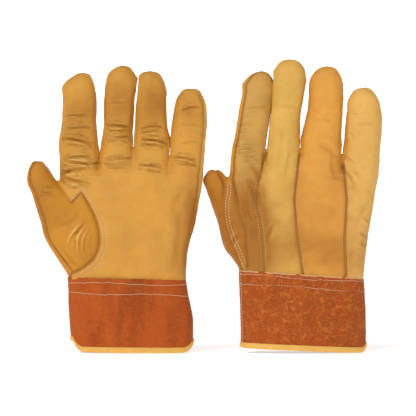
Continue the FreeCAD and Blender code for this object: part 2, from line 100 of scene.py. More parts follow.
# A row is height, left edge, right edge, half depth, and middle depth towards the palm.
# The last row is the tip.
LEFT = {
    "name": "left",
    "seed": 1.0,             # of the noise that makes the gloves differ
    "palm": -1,
    "middle_x": -1.4,
    "hand": (
        (52, -55, 48.8, 16.5, 0), (72, -56, 48.0, 17, 0), (85, -57, 49.4, 17.3, 0),
        (101, -60, 52.8, 17.5, 0), (115, -62, 56, 17.5, 0), (134, -64, 59.4, 17, 0),
        (150, -65, 62.4, 15.8, 0), (162, -63.5, 62.6, 13.2, 0), (171, -61, 60, 9.5, 0),
        (177, -58, 57, 5, 0),
    ),
    "index": (
        (120, -56, -34, 8, 0), (142, -61.5, -31.5, 12, 0), (165, -65.4, -30.6, 14.5, 0),
        (181, -65.6, -31.2, 14.2, 0), (191.5, -65.9, -31.8, 13.8, 0.3), (204, -64.1, -32.5, 13.2, 0.6),
        (218, -63, -33, 12.6, 1), (232.6, -62.7, -33.6, 12, 1.5), (242.2, -62.9, -35, 10.8, 2),
        (247, -58.6, -36.3, 9.3, 2), (251.5, -52, -38.6, 6.5, 2), (253.6, -48.2, -40.6, 4, 2),
        (254.4, -44, -44, 0, 2),
    ),
    "middle": (
        (120, -30, 0, 8, 0), (150, -31, 2.5, 13.5, 0), (170, -30.2, 2.4, 14.5, 0),
        (180, -28.6, 1.4, 14.3, 0), (192.5, -27.2, -0.6, 13.8, 0.3), (208.7, -25.3, 0.1, 13.2, 0.8),
        (228, -24.6, 1.4, 12.6, 1.3), (242.2, -23.8, 3.4, 11.8, 1.8), (248, -23, 4.2, 10.8, 2),
        (251.8, -21.9, 2.5, 9.6, 2), (256.5, -18, -1.4, 6.6, 2), (259, -13, -4.2, 4, 2),
        (259.9, -8.6, -8.6, 0, 2),
    ),
    "ring": (
        (120, 2, 30, 8, 0), (150, -1.5, 35, 13.5, 0), (170, -1.2, 34.5, 14.5, 0),
        (182, 0.4, 34, 14.2, 0), (188, 1.0, 33.5, 14, 0.2), (195, 2.0, 33, 13.6, 0.5),
        (208.7, 2.6, 31.2, 13, 0.8), (228, 2.8, 30.4, 12.4, 1.3), (242, 3.8, 29.6, 11, 1.8),
        (249, 6.0, 26.5, 8.8, 2), (253, 8.8, 23.8, 6.2, 2), (254.7, 12, 20.4, 3.5, 2),
        (255.4, 16.2, 16.2, 0, 2),
    ),
    "little": (
        (120, 32, 50, 8, 0), (142, 31.5, 57, 12, 0), (165, 32.2, 63.8, 14.2, 0),
        (178, 33.6, 65.2, 13.8, 0), (188.6, 34.4, 65.6, 13.3, 0.3), (206, 36.4, 67.4, 12.6, 0.8),
        (221, 38.8, 67.4, 11.6, 1.3), (229.5, 41, 65.6, 10.2, 1.6), (234.5, 44, 62.6, 8.3, 1.8),
        (237.8, 47.2, 59.6, 5.2, 2), (239.4, 53.2, 53.2, 0, 2),
    ),
    "thumb": (
        (66, -53.5, -44, 7, 1), (72, -56, -42, 9, 2), (77, -59.8, -39, 11, 3),
        (86, -66.2, -36, 12.5, 4), (96.3, -74, -36, 13.5, 5), (104, -78.6, -38, 14, 5),
        (115.4, -81.6, -42, 14.5, 5), (130, -86.4, -50, 14, 5), (146.7, -91.5, -61, 13, 5),
        (153.5, -94.6, -67.6, 12.5, 5), (159.7, -95, -71.8, 11.5, 5), (166, -93.2, -76.2, 9.6, 5),
        (170.2, -90.6, -80.4, 7.2, 5), (173.6, -86, -86, 0, 5),
    ),
    # middle x and z, half width, half height, middle depth, half depth
    "ball": (-46, 108, 19, 33, 7, 13.5),
    # between neighbouring fingers, each from its crotch upwards, as x and z
    "gaps": (
        ((-30.3, 175.5), (-29, 195), (-28.5, 266)),
        ((0.6, 184.5), (1.6, 200), (3, 230), (5.6, 250), (5.6, 266)),
        ((33.9, 177.3), (35, 200), (35.5, 266)),
    ),
    "back_seams": (
        ((-30, 50), (-31.5, 130), (-30.3, 175.5)), ((-4, 50), (-3.5, 130), (0.6, 184.5)),
        ((21, 50), (27, 130), (33.9, 177.3)),
    ),
    "wrap_seam": ((-50.5, 50), (-51, 109), (-56.5, 126), (-62, 158)),
    "thumb_crotch": (-66.8, 153.2),
    "leg_end": (-53.9, 136.6),
    "thumb_seam": (
        (-45.8, 145.6), (-38, 133), (-32.4, 121), (-29.4, 108), (-29.9, 96), (-34.5, 85.5),
        (-43.5, 77.5), (-55, 71.5),
    ),
    "thumb_back_seam": (
        (-55, 71.5), (-61.5, 88), (-68, 102.7), (-73.4, 120), (-74, 134.5), (-72, 154), (-77, 165),
        (-85, 174),
    ),
    # height, left edge, right edge, half depth
    "cuff": (
        (0, -54.6, 54.7, 22.5), (14, -55.4, 55, 22.3), (35, -57.3, 54.5, 21.2), (52, -57.8, 51, 19.8),
        (69, -58.4, 48.8, 18.9),
    ),
    # height of the upper edge at the middle, and how much higher it is at the right
    "cuff_top": (67.2, -1.4),
    # how far the hem falls from its right end to its left
    "hem_tilt": -1.0,
    # radii of the hem's left and right corners
    "hem_corners": (12.0, 10.0),
    # how far the two stitch rows lie below the upper edge
    "cuff_rows": (4.6, 14.0),
    # darker patches, partly dye and partly painted shade: x, z, half width, half height, strength, and side,
    # 1 for the palm and -1 for the back
    "dye_and_shade_patches": (
        (-12, 226, 14, 24, 0.62, 1), (18, 224, 13, 24, 0.60, 1), (-48, 220, 16, 20, 0.55, 1),
        (-47, 196, 12, 9, 0.25, 1), (-59, 163, 10, 6, 0.40, 1), (-80, 136, 10, 30, 0.34, 1),
        (-62, 124, 11, 12, 0.40, 1), (54, 108, 8, 50, 0.9, 1), (41, 104, 7, 44, 0.30, 1),
        (53, 222, 14, 18, 0.34, 1), (-14, 188, 15, 10, 0.12, 1), (18, 186, 14, 9, 0.14, 1),
        (52, 214, 12, 22, 0.12, 1), (-42, 84, 12, 12, 0.2, 1), (0, 82, 30, 8, 0.10, 1),
        (-20, 120, 40, 40, 0.1, -1), (30, 220, 30, 30, 0.12, -1),
    ),
    # creases: x, z, half length, tilt in degrees, bow, depth, width, side
    "folds": (
        (-50, 176, 13, 6, 1.5, 0.9, 1.0, 1), (-45, 173, 17, -3, -1.5, 1.0, 1.1, 1),
        (-52, 168.5, 11, -8, -1, 0.8, 1.1, 1), (-55, 163, 10, 10, 2, 1.4, 1.5, 1),
        (-54, 158.5, 11, -12, -2, 1.1, 1.4, 1), (-47, 153, 12, -6, 1, 0.6, 1.4, 1),
        (-50, 190.5, 15, -12, 2, 1.1, 1.2, 1), (-47, 187, 12, -6, 1, 0.5, 1.0, 1),
        (-49, 203, 14, 3, 1, 0.6, 0.9, 1), (-50, 214.5, 13, 2, 0.5, 0.5, 0.9, 1),
        (-51, 209, 9, -4, 0.5, 0.35, 0.9, 1), (-12, 175, 14, 4, 1, 0.7, 1.1, 1),
        (-19, 171.5, 9, -2, -0.6, 0.5, 1.0, 1), (-11, 167.5, 11, -3, 0.6, 0.4, 1.0, 1),
        (-13, 205, 12, -4, 1, 1.0, 1.0, 1), (-12, 201.5, 10, 3, -0.6, 0.5, 0.9, 1),
        (-13, 196, 12, 3, -1.2, 0.9, 1.0, 1), (-14, 193, 11, -2, -0.8, 0.5, 0.9, 1),
        (-12, 226, 10, 2, 0.6, 0.25, 0.9, 1), (18, 203.5, 11, 4, 1.2, 0.7, 0.9, 1),
        (16, 200, 9, 10, 0.5, 0.5, 0.9, 1), (20, 191, 13, -9, 1.4, 1.1, 1.1, 1),
        (18, 187.5, 12, -5, 1, 0.8, 1.0, 1), (17, 168.5, 12, -4, 1, 0.8, 1.1, 1),
        (16, 165, 11, -7, 0.8, 0.5, 1.0, 1), (53, 221, 10, 12, 1, 0.7, 1.0, 1),
        (47, 175.5, 12, -8, 1, 0.8, 1.1, 1), (50, 170.5, 11, -14, 1, 0.6, 1.0, 1),
        (52, 190, 10, 5, 0.6, 0.3, 1.0, 1), (53, 206, 10, -3, 0.5, 0.2, 1.0, 1),
        (-74, 148, 9, 24, 2, 0.35, 1.3, 1), (-78, 142, 9, 20, 2, 0.3, 1.3, 1),
        (-58, 92, 9, -50, -2, 0.4, 1.3, 1), (-60, 86, 8, -46, -2, 0.35, 1.2, 1),
        (-52, 84, 9, -40, -2, 0.35, 1.2, 1), (-44, 105, 17, 68, 6, 0.7, 1.3, 1),
        (-41, 104, 15, 72, 5, 0.5, 1.2, 1), (-47.5, 104, 14, 64, 5, 0.5, 1.2, 1),
        (-38, 101, 12, 78, 4, 0.4, 1.1, 1), (-50, 103, 11, 58, 4, 0.5, 1.2, 1),
        (-58, 121, 13, 24, -4, 0.8, 2.2, 1), (-72, 140, 10, 20, 2, 0.3, 1.6, 1),
        (22, 118, 30, 42, 4, 0.35, 3.6, 1), (40, 100, 30, 84, -2, 0.6, 3.4, 1),
        (8, 96, 24, 30, 3, 0.3, 3.4, 1), (-8, 150, 26, 16, 3, 0.5, 3.4, 1),
        (44, 140, 16, 60, 2, 0.6, 2.6, 1), (-48, 196, 12, 3, 1, 0.5, 1.3, -1),
        (-13, 201, 11, -3, 1, 0.5, 1.3, -1), (18, 198, 11, 3, 1, 0.5, 1.3, -1),
        (51, 190, 10, -4, 1, 0.5, 1.3, -1), (-48, 170, 12, 10, 2, 0.5, 2.2, -1),
        (-14, 168, 12, -8, 2, 0.5, 2.2, -1), (16, 166, 12, 12, 2, 0.6, 2.4, -1),
        (48, 164, 12, -16, 2, 0.6, 2.4, -1), (-20, 96, 16, 30, 2, 0.5, 3.2, -1),
        (30, 100, 16, -36, 2, 0.5, 3.2, -1),
    ),
}

RIGHT = {
    "name": "right",
    "seed": 2.0,
    "palm": 1,
    "middle_x": 0.0,
    "hand": (
        (52, -55, 53.7, 16.5, 0), (73, -55, 55.0, 17, 0), (85, -56, 56.2, 17.3, 0),
        (100, -59, 58.4, 17.5, 0), (112, -61, 60.2, 17.5, 0), (134, -64, 63, 17, 0),
        (150, -65.4, 66.2, 15.8, 0), (162, -64.5, 67, 13.2, 0), (171, -62, 65, 9.5, 0),
        (178, -59, 62, 5, 0),
    ),
    "index": (
        (120, -54, -37, 8, 0), (142, -61, -37, 12, 0.4), (165, -66, -35.5, 14.5, 1),
        (186, -63.6, -32, 13.8, 2), (200, -61.0, -29.6, 13.2, 2.4), (213, -58.8, -28.2, 12.6, 2.6),
        (229, -56.8, -27.4, 12, 2.6), (238.4, -55.6, -27.4, 11.4, 2.6),
        (243.7, -55.4, -27.4, 10.6, 2.6), (247.6, -52.6, -28.4, 9.4, 2.6),
        (252.2, -46.4, -31.2, 6, 2.6), (254.1, -42.6, -33.4, 4, 2.6), (254.9, -38, -38, 0, 2.6),
    ),
    "middle": (
        (120, -34, -4, 8, 0), (150, -35.5, -2, 13.5, -0.4), (170, -34.8, -1.6, 14.5, -1),
        (183, -34.6, -2.6, 14.2, -1.6), (190, -33.8, -3.4, 14, -1.8), (200, -32.6, -3.6, 13.4, -2),
        (216.6, -30.4, -2.2, 12.8, -2), (230, -28.2, -0.2, 12.3, -2), (247.5, -27, 1.8, 11.4, -2),
        (252.5, -26.8, 1.8, 10.6, -2), (257, -25.2, 0.6, 9.4, -2), (261.8, -22, -2.6, 7, -2),
        (264.7, -18.2, -6.4, 4.4, -2), (266.2, -12.3, -12.3, 0, -2),
    ),
    "ring": (
        (120, -2, 32, 8, 0), (150, -3.5, 36.4, 13.5, 0), (170, -3.6, 36, 14.5, 0),
        (183, -3, 35, 14.2, 0), (190, -2, 34.5, 14, 0), (200, 0, 34.4, 13.5, 0),
        (215, 3.1, 35, 13, 0.4), (230, 5.4, 35.9, 12.4, 0.6), (241, 6, 36, 11.7, 0.8),
        (248, 7, 35.3, 10.6, 0.8), (253, 10, 32.8, 8.8, 0.8), (257, 14, 30.2, 6, 0.8),
        (259, 17.4, 27.4, 3.6, 0.8), (259.9, 22.6, 22.6, 0, 0.8),
    ),
    "little": (
        (120, 35, 52, 8, 0), (142, 35, 60, 12, 0), (165, 35.2, 68.4, 14.2, 0),
        (180, 36.6, 70.2, 13.8, 0), (190, 38, 71, 13.2, 0.2), (207.6, 39.6, 71.2, 12.4, 0.6),
        (221, 40.6, 70.2, 11.6, 0.8), (229, 41.2, 68.4, 10.4, 0.8), (234.5, 44.2, 65.2, 8.6, 0.8),
        (238.2, 47.2, 61.6, 5.6, 0.8), (239.7, 50, 58.8, 3.4, 0.8), (240.4, 54.4, 54.4, 0, 0.8),
    ),
    "thumb": (
        (66, -51, -44, 7, 1), (73.5, -53.5, -41, 9.5, 2), (80, -56.2, -39, 11, 3),
        (86.4, -61, -38, 12.5, 4), (95.7, -70, -38, 13.5, 5), (106.4, -74.6, -40, 14, 5),
        (119.7, -77.6, -44, 14.5, 5), (133, -81.8, -52, 14, 5), (149, -88.4, -63, 12.6, 5),
        (155.7, -90.2, -67.4, 11.4, 5), (160.2, -88.8, -70.6, 9.4, 5), (163.6, -85.8, -73.6, 6.6, 5),
        (166, -80, -80, 0, 5),
    ),
    "ball": (-45, 106, 18, 31, 7, 13.0),
    "gaps": (
        ((-33.6, 182.5), (-31.6, 200), (-28.3, 225), (-27.3, 245), (-26.8, 272)),
        ((-2.8, 183.5), (-2.1, 200), (0.6, 216), (3.4, 236), (5, 272)),
        ((35.4, 178.5), (37, 200), (38.4, 272)),
    ),
    "back_seams": (
        ((-36.5, 50), (-36, 75), (-38.5, 114.5), (-43.2, 139), (-40.5, 156), (-33.6, 182.5)),
        ((0, 50), (-1, 73), (-6, 108), (-8.4, 139), (-2.8, 183.5)),
        ((37.5, 50), (38.5, 72), (37.3, 102), (39.1, 139), (35.4, 178.5)),
    ),
    "wrap_seam": ((-50.5, 50), (-51, 74), (-52.4, 96), (-52.6, 109), (-58, 126), (-65, 158)),
    "thumb_crotch": (-68.2, 155.2),
    "leg_end": (-54.5, 138),
    "thumb_seam": (
        (-46, 147.5), (-38, 134), (-32.4, 121.5), (-29.4, 108), (-29.9, 96), (-34.5, 85.5),
        (-43.5, 77.5), (-54.4, 71.5),
    ),
    "thumb_back_seam": (
        (-54.4, 71.5), (-60.9, 88.2), (-67.3, 102.7), (-72.4, 120), (-72.9, 134.5), (-71.6, 155),
        (-75.5, 162), (-80, 166.9),
    ),
    "cuff": (
        (0, -56.0, 56.6, 22.5), (14, -56.2, 57.2, 22.3), (35, -56.7, 57.0, 21.2),
        (52, -57.2, 55.8, 19.8), (70, -57.4, 55.2, 18.9),
    ),
    "cuff_top": (71.2, -3.6),
    "hem_tilt": -4.5,
    "hem_corners": (4.0, 5.0),
    "cuff_rows": (3.6, 11.8),
    # darker patches, partly dye and partly painted shade: x, z, half width, half height, strength, and side,
    # 1 for the palm and -1 for the back
    "dye_and_shade_patches": (
        (-48, 122, 15, 30, 1.3, -1), (-42, 92, 12, 26, 0.7, -1), (-84, 148, 9, 26, 0.50, -1),
        (-70, 110, 9, 34, 0.55, -1), (-47, 160, 14, 18, 0.18, -1), (-20, 84, 18, 22, 0.16, -1),
        (18, 92, 18, 18, 0.24, -1), (18, 130, 16, 10, 0.16, -1), (30, 166, 9, 12, 0.12, -1),
        (0, 106, 80, 44, 0.32, -1), (-12, 148, 14, 14, 0.12, -1), (14, 208, 10, 24, 0.16, -1),
        (54, 90, 12, 20, 0.14, -1), (50, 168, 10, 10, 0.12, -1), (-34, 226, 5, 30, 0.22, -1),
        (0, 120, 50, 40, 0.12, 1), (10, 220, 40, 24, 0.2, 1),
    ),
    "folds": (
        (-54, 193, 10, 2, 0.6, 0.3, 0.9, -1), (-53, 187, 12, 4, 0.8, 0.35, 0.9, -1),
        (-52, 181.5, 12, 3, 1, 0.35, 0.9, -1), (-50, 176, 12, -2, 1, 0.3, 0.9, -1),
        (-48, 171.5, 10, -10, 1, 0.3, 1.0, -1), (-55, 200, 8, 3, 0.5, 0.25, 0.9, -1),
        (-44, 164, 9, -60, 2, 1.2, 2.4, -1), (-46, 145, 14, -70, 2, 1.6, 2.6, -1),
        (-50, 128, 12, -74, -2, 1.4, 2.4, -1), (-43, 112, 14, 82, 2, 1.2, 2.6, -1),
        (-18, 190, 16, 86, 1.5, 0.5, 1.6, -1), (-24, 180, 14, 84, -1, 0.45, 1.6, -1),
        (-13, 172, 12, 78, 1, 0.4, 1.5, -1), (22, 183, 13, -34, 2, 1.1, 2.6, -1),
        (28, 168, 11, -84, -1.5, 0.6, 1.9, -1), (32, 157, 8, -8, 1, 0.5, 1.8, -1),
        (43, 172, 9, -42, 1, 0.7, 1.6, -1), (45, 165, 9, -48, 1, 0.6, 1.5, -1),
        (42, 158, 8, -54, 1, 0.5, 1.5, -1), (-20, 130, 22, 14, 3, 0.35, 3.4, -1),
        (10, 122, 22, -12, 3, 0.35, 3.2, -1), (16, 98, 18, 8, 2, 0.3, 3.0, -1),
        (54, 124, 14, 64, 2, 0.5, 2.6, -1), (60, 118, 9, -34, 1, 0.4, 1.3, -1),
        (57, 104, 9, -40, 1, 0.45, 1.3, -1), (56, 96, 8, -30, 1, 0.35, 1.2, -1),
        (46, 216, 6, -40, 1, 0.35, 1.1, -1), (43, 196, 5, -60, 1, 0.4, 1.1, -1),
        (-48, 214, 9, 4, 0.6, 0.25, 1.0, -1), (-52, 206, 9, 3, 0.6, 0.25, 1.0, -1),
        (-30, 108, 9, 70, 1, 0.4, 1.4, -1), (24, 84, 16, 4, 1, 0.3, 2.4, -1),
        (-20, 112, 14, 20, 2, 0.4, 2.6, -1), (10, 160, 16, 4, 1, 0.25, 2.6, -1),
        (-20, 95, 14, -20, 2, 0.4, 2.8, -1), (50, 92, 14, 40, 2, 0.4, 2.6, -1),
        (20, 210, 12, 4, 0.8, 0.35, 1.6, -1), (-14, 222, 12, -3, 0.8, 0.35, 1.6, -1),
        (54, 207, 11, 4, 0.8, 0.35, 1.6, -1), (-42, 222, 11, 3, 0.6, 0.3, 1.2, -1),
        (-62, 100, 10, 52, 2, 0.8, 1.6, -1), (-64, 112, 10, 62, 2, 0.5, 1.6, -1),
        (-50, 176, 13, 5, 1.5, 0.9, 1.1, 1), (-14, 178, 13, 3, 1, 0.8, 1.1, 1),
        (18, 178, 13, -3, 1, 0.8, 1.1, 1), (50, 174, 12, -7, 1, 0.8, 1.1, 1),
        (-47, 196, 12, -5, 1, 0.8, 1.1, 1), (-14, 203, 12, 3, 1, 0.8, 1.1, 1),
        (19, 200, 12, -5, 1, 0.8, 1.1, 1), (53, 192, 11, 4, 1, 0.6, 1.1, 1),
        (-50, 164, 14, 10, 2, 1.0, 1.5, 1), (-44, 105, 17, 66, 6, 0.9, 1.3, 1),
        (-40, 102, 14, 72, 5, 0.7, 1.1, 1), (20, 118, 28, 42, 4, 0.8, 3.4, 1),
        (38, 104, 22, 52, -3, 0.7, 3.0, 1), (-8, 148, 26, 14, 3, 0.5, 3.4, 1),
        (-58, 121, 13, 24, -4, 0.8, 2.2, 1),
    ),
}
GLOVES = (LEFT, RIGHT)

# ------------------------------------------------------------------ settings


def colour_setting(name, description, default):
    return FloatVectorProperty(name=name, description=description, subtype="COLOR", default=default)


class LeatherSettings(bpy.types.PropertyGroup):
    """Sizes and colours of the leather."""

    thickness: FloatProperty(
        name="Leather thickness", description="Thickness of the yellow leather, mm", default=1.3, min=0.5)
    seam_depth: FloatProperty(
        name="Seam depth", description="How far a turned seam draws the leather in, mm", default=1.0, min=0.0)
    seam_width: FloatProperty(
        name="Seam width", description="Half width of that valley, mm", default=1.7, min=0.5)
    crease_depth: FloatProperty(name="Crease depth", default=1.3, min=0.0, max=3.0)
    slack: FloatProperty(
        name="Slack", description="Height of the skin's soft, wide undulations, mm", default=0.75, min=0.0)
    palm_colour: colour_setting("Palm", "Colour of the palm leather", (0.66, 0.32, 0.05))
    thumb_colour: colour_setting("Thumb", "Colour of the thumb leather", (0.58, 0.25, 0.020))
    index_colour: colour_setting("Index strip", "Colour of the index back strip", (0.61, 0.335, 0.075))
    middle_colour: colour_setting("Middle strip", "Colour of the middle back strip", (0.71, 0.41, 0.085))
    ring_colour: colour_setting("Ring strip", "Colour of the ring back strip", (0.73, 0.34, 0.055))
    little_colour: colour_setting("Little strip", "Colour of the little back strip", (0.75, 0.42, 0.10))
    welt_colour: colour_setting("Welts", "Colour of the folded welts", (0.40, 0.17, 0.022))
    binding_colour: colour_setting("Binding", "Colour of the hem binding", (0.79, 0.45, 0.10))
    # colour that painted shade in creases and beside seams mixes towards, and also the colour of darker dye
    # patches and pores
    stain_and_shade: colour_setting("Creased leather", "Colour that creases and seams darken to", (0.34, 0.115, 0.008))
    flesh_side: colour_setting("Flesh side", "Colour of the leather's raw inner side", (0.62, 0.42, 0.22))


class StitchSettings(bpy.types.PropertyGroup):
    """Sizes and colours of the sewing thread."""

    length: FloatProperty(
        name="Stitch length", description="Length of one stitch, mm", default=1.9, min=0.5)
    gap: FloatProperty(
        name="Stitch gap", description="Gap between two stitches, mm", default=0.9, min=0.1)
    thickness: FloatProperty(
        name="Thread", description="Thickness of the thread, mm", default=0.62, min=0.2)
    pale: colour_setting("Pale thread", "Colour of the cream thread", (0.80, 0.60, 0.40))
    yellow: colour_setting("Yellow thread", "Colour of the yellow thread", (0.66, 0.42, 0.20))


class CuffSettings(bpy.types.PropertyGroup):
    """Sizes and colours of the safety cuff."""

    thickness: FloatProperty(
        name="Cuff leather", description="Thickness of the cuff, mm", default=1.5, min=0.5)
    binding_height: FloatProperty(
        name="Binding height", description="Height of the hem binding, mm", default=5.2)
    binding_wall: FloatProperty(
        name="Binding leather", description="Thickness of the binding, mm", default=1.1)
    wrap: FloatProperty(
        name="Wrap", description="How far the palm panel wraps round the thumb edge, mm", default=3.8)
    rust: colour_setting("Rust", "Colour of the split leather", (0.42, 0.078, 0.011))
    rust_dark: colour_setting("Dark rust", "Colour of its smudges", (0.20, 0.032, 0.006))
    raw_edge: colour_setting("Cut edge", "Colour of its cut upper edge", (0.70, 0.42, 0.20))


class StageSettings(bpy.types.PropertyGroup):
    """The studio round the gloves."""

    floor_size: FloatProperty(
        name="Floor", description="Width of the floor", subtype="DISTANCE", default=24.0)
    view_width: FloatProperty(
        name="View width", description="Width that the camera sees at the gloves",
        subtype="DISTANCE", default=0.3782)
    view_distance: FloatProperty(
        name="Camera distance", description="Distance from the gloves to the camera",
        subtype="DISTANCE", default=2.4)


# ------------------------------------------------------------------ sculpting one glove's skin

HAND_POWER = 2.6         # superellipse power of the hand's sections
FINGER_POWER = 2.25      # and of a finger's
TIP_RUN = 12.0           # the last stretch of a finger, where the depth rounds off
DOME_POWER = 2.2         # and the power of that rounding
BLEND_FINGER = 4.0       # how softly a finger grows out of the hand
BLEND_THUMB = 5.0        # and the thumb out of the hand
BLEND_BALL = 10.0        # and the thumb out of its ball
FINGER_APART = 1.1       # half the least gap between two fingers while they are sculpted
CLOSING = 0.7            # and how far each side then moves back over that gap
CROWN_ACROSS = 26.0      # twice the radius of a fingertip's crown from side to side
CROWN_DEEP = 34.0        # and from palm to back
CROWN_DROPS = (12, 6)    # the most that the crown falls either way
PLUMP = 0.45             # makes good what the seams and the smoothing take away
MIN_SQUARE = 0.2         # least squared half width, so that a section never vanishes


def curve_through(keys, values, at):
    """A smooth curve through the values at the keys, evaluated at the places in at, and flat outside them."""
    keys, values = np.asarray(keys, float), np.asarray(values, float)
    slopes = np.gradient(values, keys)
    slopes[0], slopes[-1] = 0.0, (values[-1] - values[-2]) / (keys[-1] - keys[-2])
    at = np.clip(at, keys[0], keys[-1])
    k = np.clip(np.searchsorted(keys, at) - 1, 0, len(keys) - 2)
    run = keys[k + 1] - keys[k]
    s = (at - keys[k]) / run
    low = (1 + 2 * s) * (1 - s) ** 2 * values[k] + s * (1 - s) ** 2 * run * slopes[k]
    return low + s * s * (3 - 2 * s) * values[k + 1] + s * s * (s - 1) * run * slopes[k + 1]


def section_at(rows, z, domed):
    """Centre, squared half width, half depth and middle depth of a shape at each height in z."""
    rows = np.array(rows, float)
    heights, left, right, deep, middle = rows.T
    centre = curve_through(heights, (left + right) / 2, z)
    square = np.maximum(curve_through(heights, ((right - left) / 2) ** 2, z), MIN_SQUARE)
    if domed:
        tip = heights[-1]
        depth = np.interp(z, heights[:-2], deep[:-2])
        rise = np.clip((z - (tip - TIP_RUN)) / TIP_RUN, 0, 1)
        full = np.interp(tip - TIP_RUN, heights[:-2], deep[:-2])
        dome = np.sqrt(np.maximum(1 - rise ** DOME_POWER, MIN_SQUARE / 30))
        depth = np.where(rise > 0, full * dome, depth)
    else:
        depth = np.maximum(curve_through(heights, deep, z), 0.6)
    return centre, square, depth, np.interp(z, heights, middle)


def tube_field(rows, x, t, z, power, domed=True):
    """About how far a grid point is outside the shape that the rows describe; inside is negative."""
    centre, square, depth, middle = section_at(rows, z, domed)
    across, deep = np.abs(x[:, None, None] - centre), np.abs(t[None, :, None] - middle)
    reach = ((across / np.sqrt(square)) ** power + (deep / depth) ** power) ** (1 / power)
    field = reach - 1
    gradient = np.gradient(field, GRID_STEP)
    steepness = np.sqrt(sum(g * g for g in gradient))
    field = field / np.maximum(steepness, 0.02)
    beyond = np.hypot(across, deep) * (1 - 1 / np.maximum(reach, 0.01)) - 4.0
    crown = z - rows[-1][0] + np.minimum(across ** 2 / CROWN_ACROSS, CROWN_DROPS[0])
    crown = crown + np.minimum(deep ** 2 / CROWN_DEEP, CROWN_DROPS[1])
    return np.maximum(np.maximum(np.maximum(field, beyond), crown), rows[0][0] - z)


def soft_union(a, b, reach):
    overlap = np.maximum(reach - np.abs(a - b), 0) / reach
    return np.minimum(a, b) - overlap * overlap * reach / 4


def ball_field(ball, x, t, z):
    """The ball of the thumb: an egg that swells the palm."""
    bx, bz, across, along, middle, deep = ball
    shape = ((x[:, None, None] - bx) / across) ** 2 + ((t[None, :, None] - middle) / deep) ** 2
    shape = np.sqrt(shape + ((z[None, None, :] - bz) / along) ** 2) - 1
    return shape * min(across, deep)


def glove_field(spec, x, t, z):
    fingers = np.minimum.reduce([tube_field(spec[finger], x, t, z, FINGER_POWER) for finger in FINGERS])
    hand = tube_field(spec["hand"], x, t, z, HAND_POWER, domed=False)
    skin = soft_union(hand, fingers, BLEND_FINGER) - PLUMP
    for gap, tips in zip(spec["gaps"], zip(FINGERS, FINGERS[1:])):
        apart = FINGER_APART - np.abs(x[:, None] - path_x(gap, z)[None, :])
        lowest = min(spec[finger][-1][0] for finger in tips)
        between = np.minimum(z - gap[0][1] - 2.0, lowest + 1.0 - z)[None, :]
        skin = np.maximum(skin, np.minimum(apart, between)[:, None, :])
    thumb = tube_field(spec["thumb"], x, t, z, FINGER_POWER)
    thumb = soft_union(thumb, ball_field(spec["ball"], x, t, z), BLEND_BALL)
    skin = soft_union(skin, thumb - PLUMP, BLEND_THUMB)
    for axis in range(3):
        skin = softened(skin, axis)
    return skin


def softened(values, axis):
    """The grid, blurred a little along one axis."""
    padded = np.pad(values, [(1, 1) if a == axis else (0, 0) for a in range(3)], mode="edge")
    first, middle, last = (np.take(padded, range(k, k + values.shape[axis]), axis) for k in range(3))
    return (first + 2 * middle + last) / 4


def part_of(values, axis, start):
    """The grid without its last (start 0) or first (start 1) layer along an axis."""
    picks = [slice(None)] * 3
    picks[axis] = slice(start, None if start else -1)
    return values[tuple(picks)]


def surface_net(values, origin):
    """A quad mesh on the surface where the grid's values change sign."""
    cells = tuple(n - 1 for n in values.shape)
    total, count = np.zeros(cells + (3,)), np.zeros(cells)
    quads = []
    crossings = []
    for axis in range(3):
        low, high = part_of(values, axis, 0), part_of(values, axis, 1)
        crosses = (low < 0) != (high < 0)
        with np.errstate(divide="ignore", invalid="ignore"):
            share = np.where(crosses, low / (low - high), 0.0)
        others = [a for a in range(3) if a != axis]
        for first in (0, 1):
            for second in (0, 1):
                hit = part_of(part_of(crosses, others[0], first), others[1], second)
                part = part_of(part_of(share, others[0], first), others[1], second)
                count += hit
                total[..., axis] += part
                total[..., others[0]] += hit * first
                total[..., others[1]] += hit * second
        crossings.append((axis, others, crosses, low < 0))
    used = count > 0
    number = np.full(cells, -1)
    number[used] = np.arange(used.sum())
    spots = (np.argwhere(used) + total[used] / count[used][:, None]) * GRID_STEP + origin
    for axis, others, crosses, inside in crossings:
        where = np.argwhere(crosses)
        one, two = others
        keep = (where[:, one] > 0) & (where[:, two] > 0)
        keep &= (where[:, one] < cells[one]) & (where[:, two] < cells[two])
        where = where[keep]
        corners = []
        for back_one, back_two in ((1, 1), (0, 1), (0, 0), (1, 0)):
            cell = where.copy()
            cell[:, one] -= back_one
            cell[:, two] -= back_two
            corners.append(number[tuple(cell.T)])
        faces = np.stack(corners, axis=1)
        flip = inside[tuple(where.T)] ^ (axis == 1)
        faces[~flip] = faces[~flip][:, ::-1]
        quads.append(faces)
    return spots, np.concatenate(quads)


def grid_sample(values, spots, origin):
    """The grid's value at each spot, by interpolation."""
    place = (spots - origin) / GRID_STEP
    low = np.clip(np.floor(place).astype(int), 0, np.array(values.shape) - 2)
    share = np.clip(place - low, 0, 1)
    result = 0.0
    for corner in range(8):
        step = np.array([corner & 1, corner >> 1 & 1, corner >> 2 & 1])
        weight = np.prod(np.where(step, share, 1 - share), axis=1)
        result = result + weight * values[tuple((low + step).T)]
    return result


def neighbour_mean(spots, edges):
    total = np.zeros_like(spots)
    for a, b in ((0, 1), (1, 0)):
        for c in range(3):
            total[:, c] += np.bincount(edges[:, a], spots[edges[:, b], c], len(spots))
    degree = np.bincount(edges.ravel(), minlength=len(spots))
    return total / np.maximum(degree, 1)[:, None]


def edges_of(faces):
    """Each edge of the faces once, as pairs of vertex numbers in order."""
    size = faces.shape[1]
    pairs = np.concatenate([faces[:, [k, (k + 1) % size]] for k in range(size)])
    return np.unique(np.sort(pairs, axis=1), axis=0)


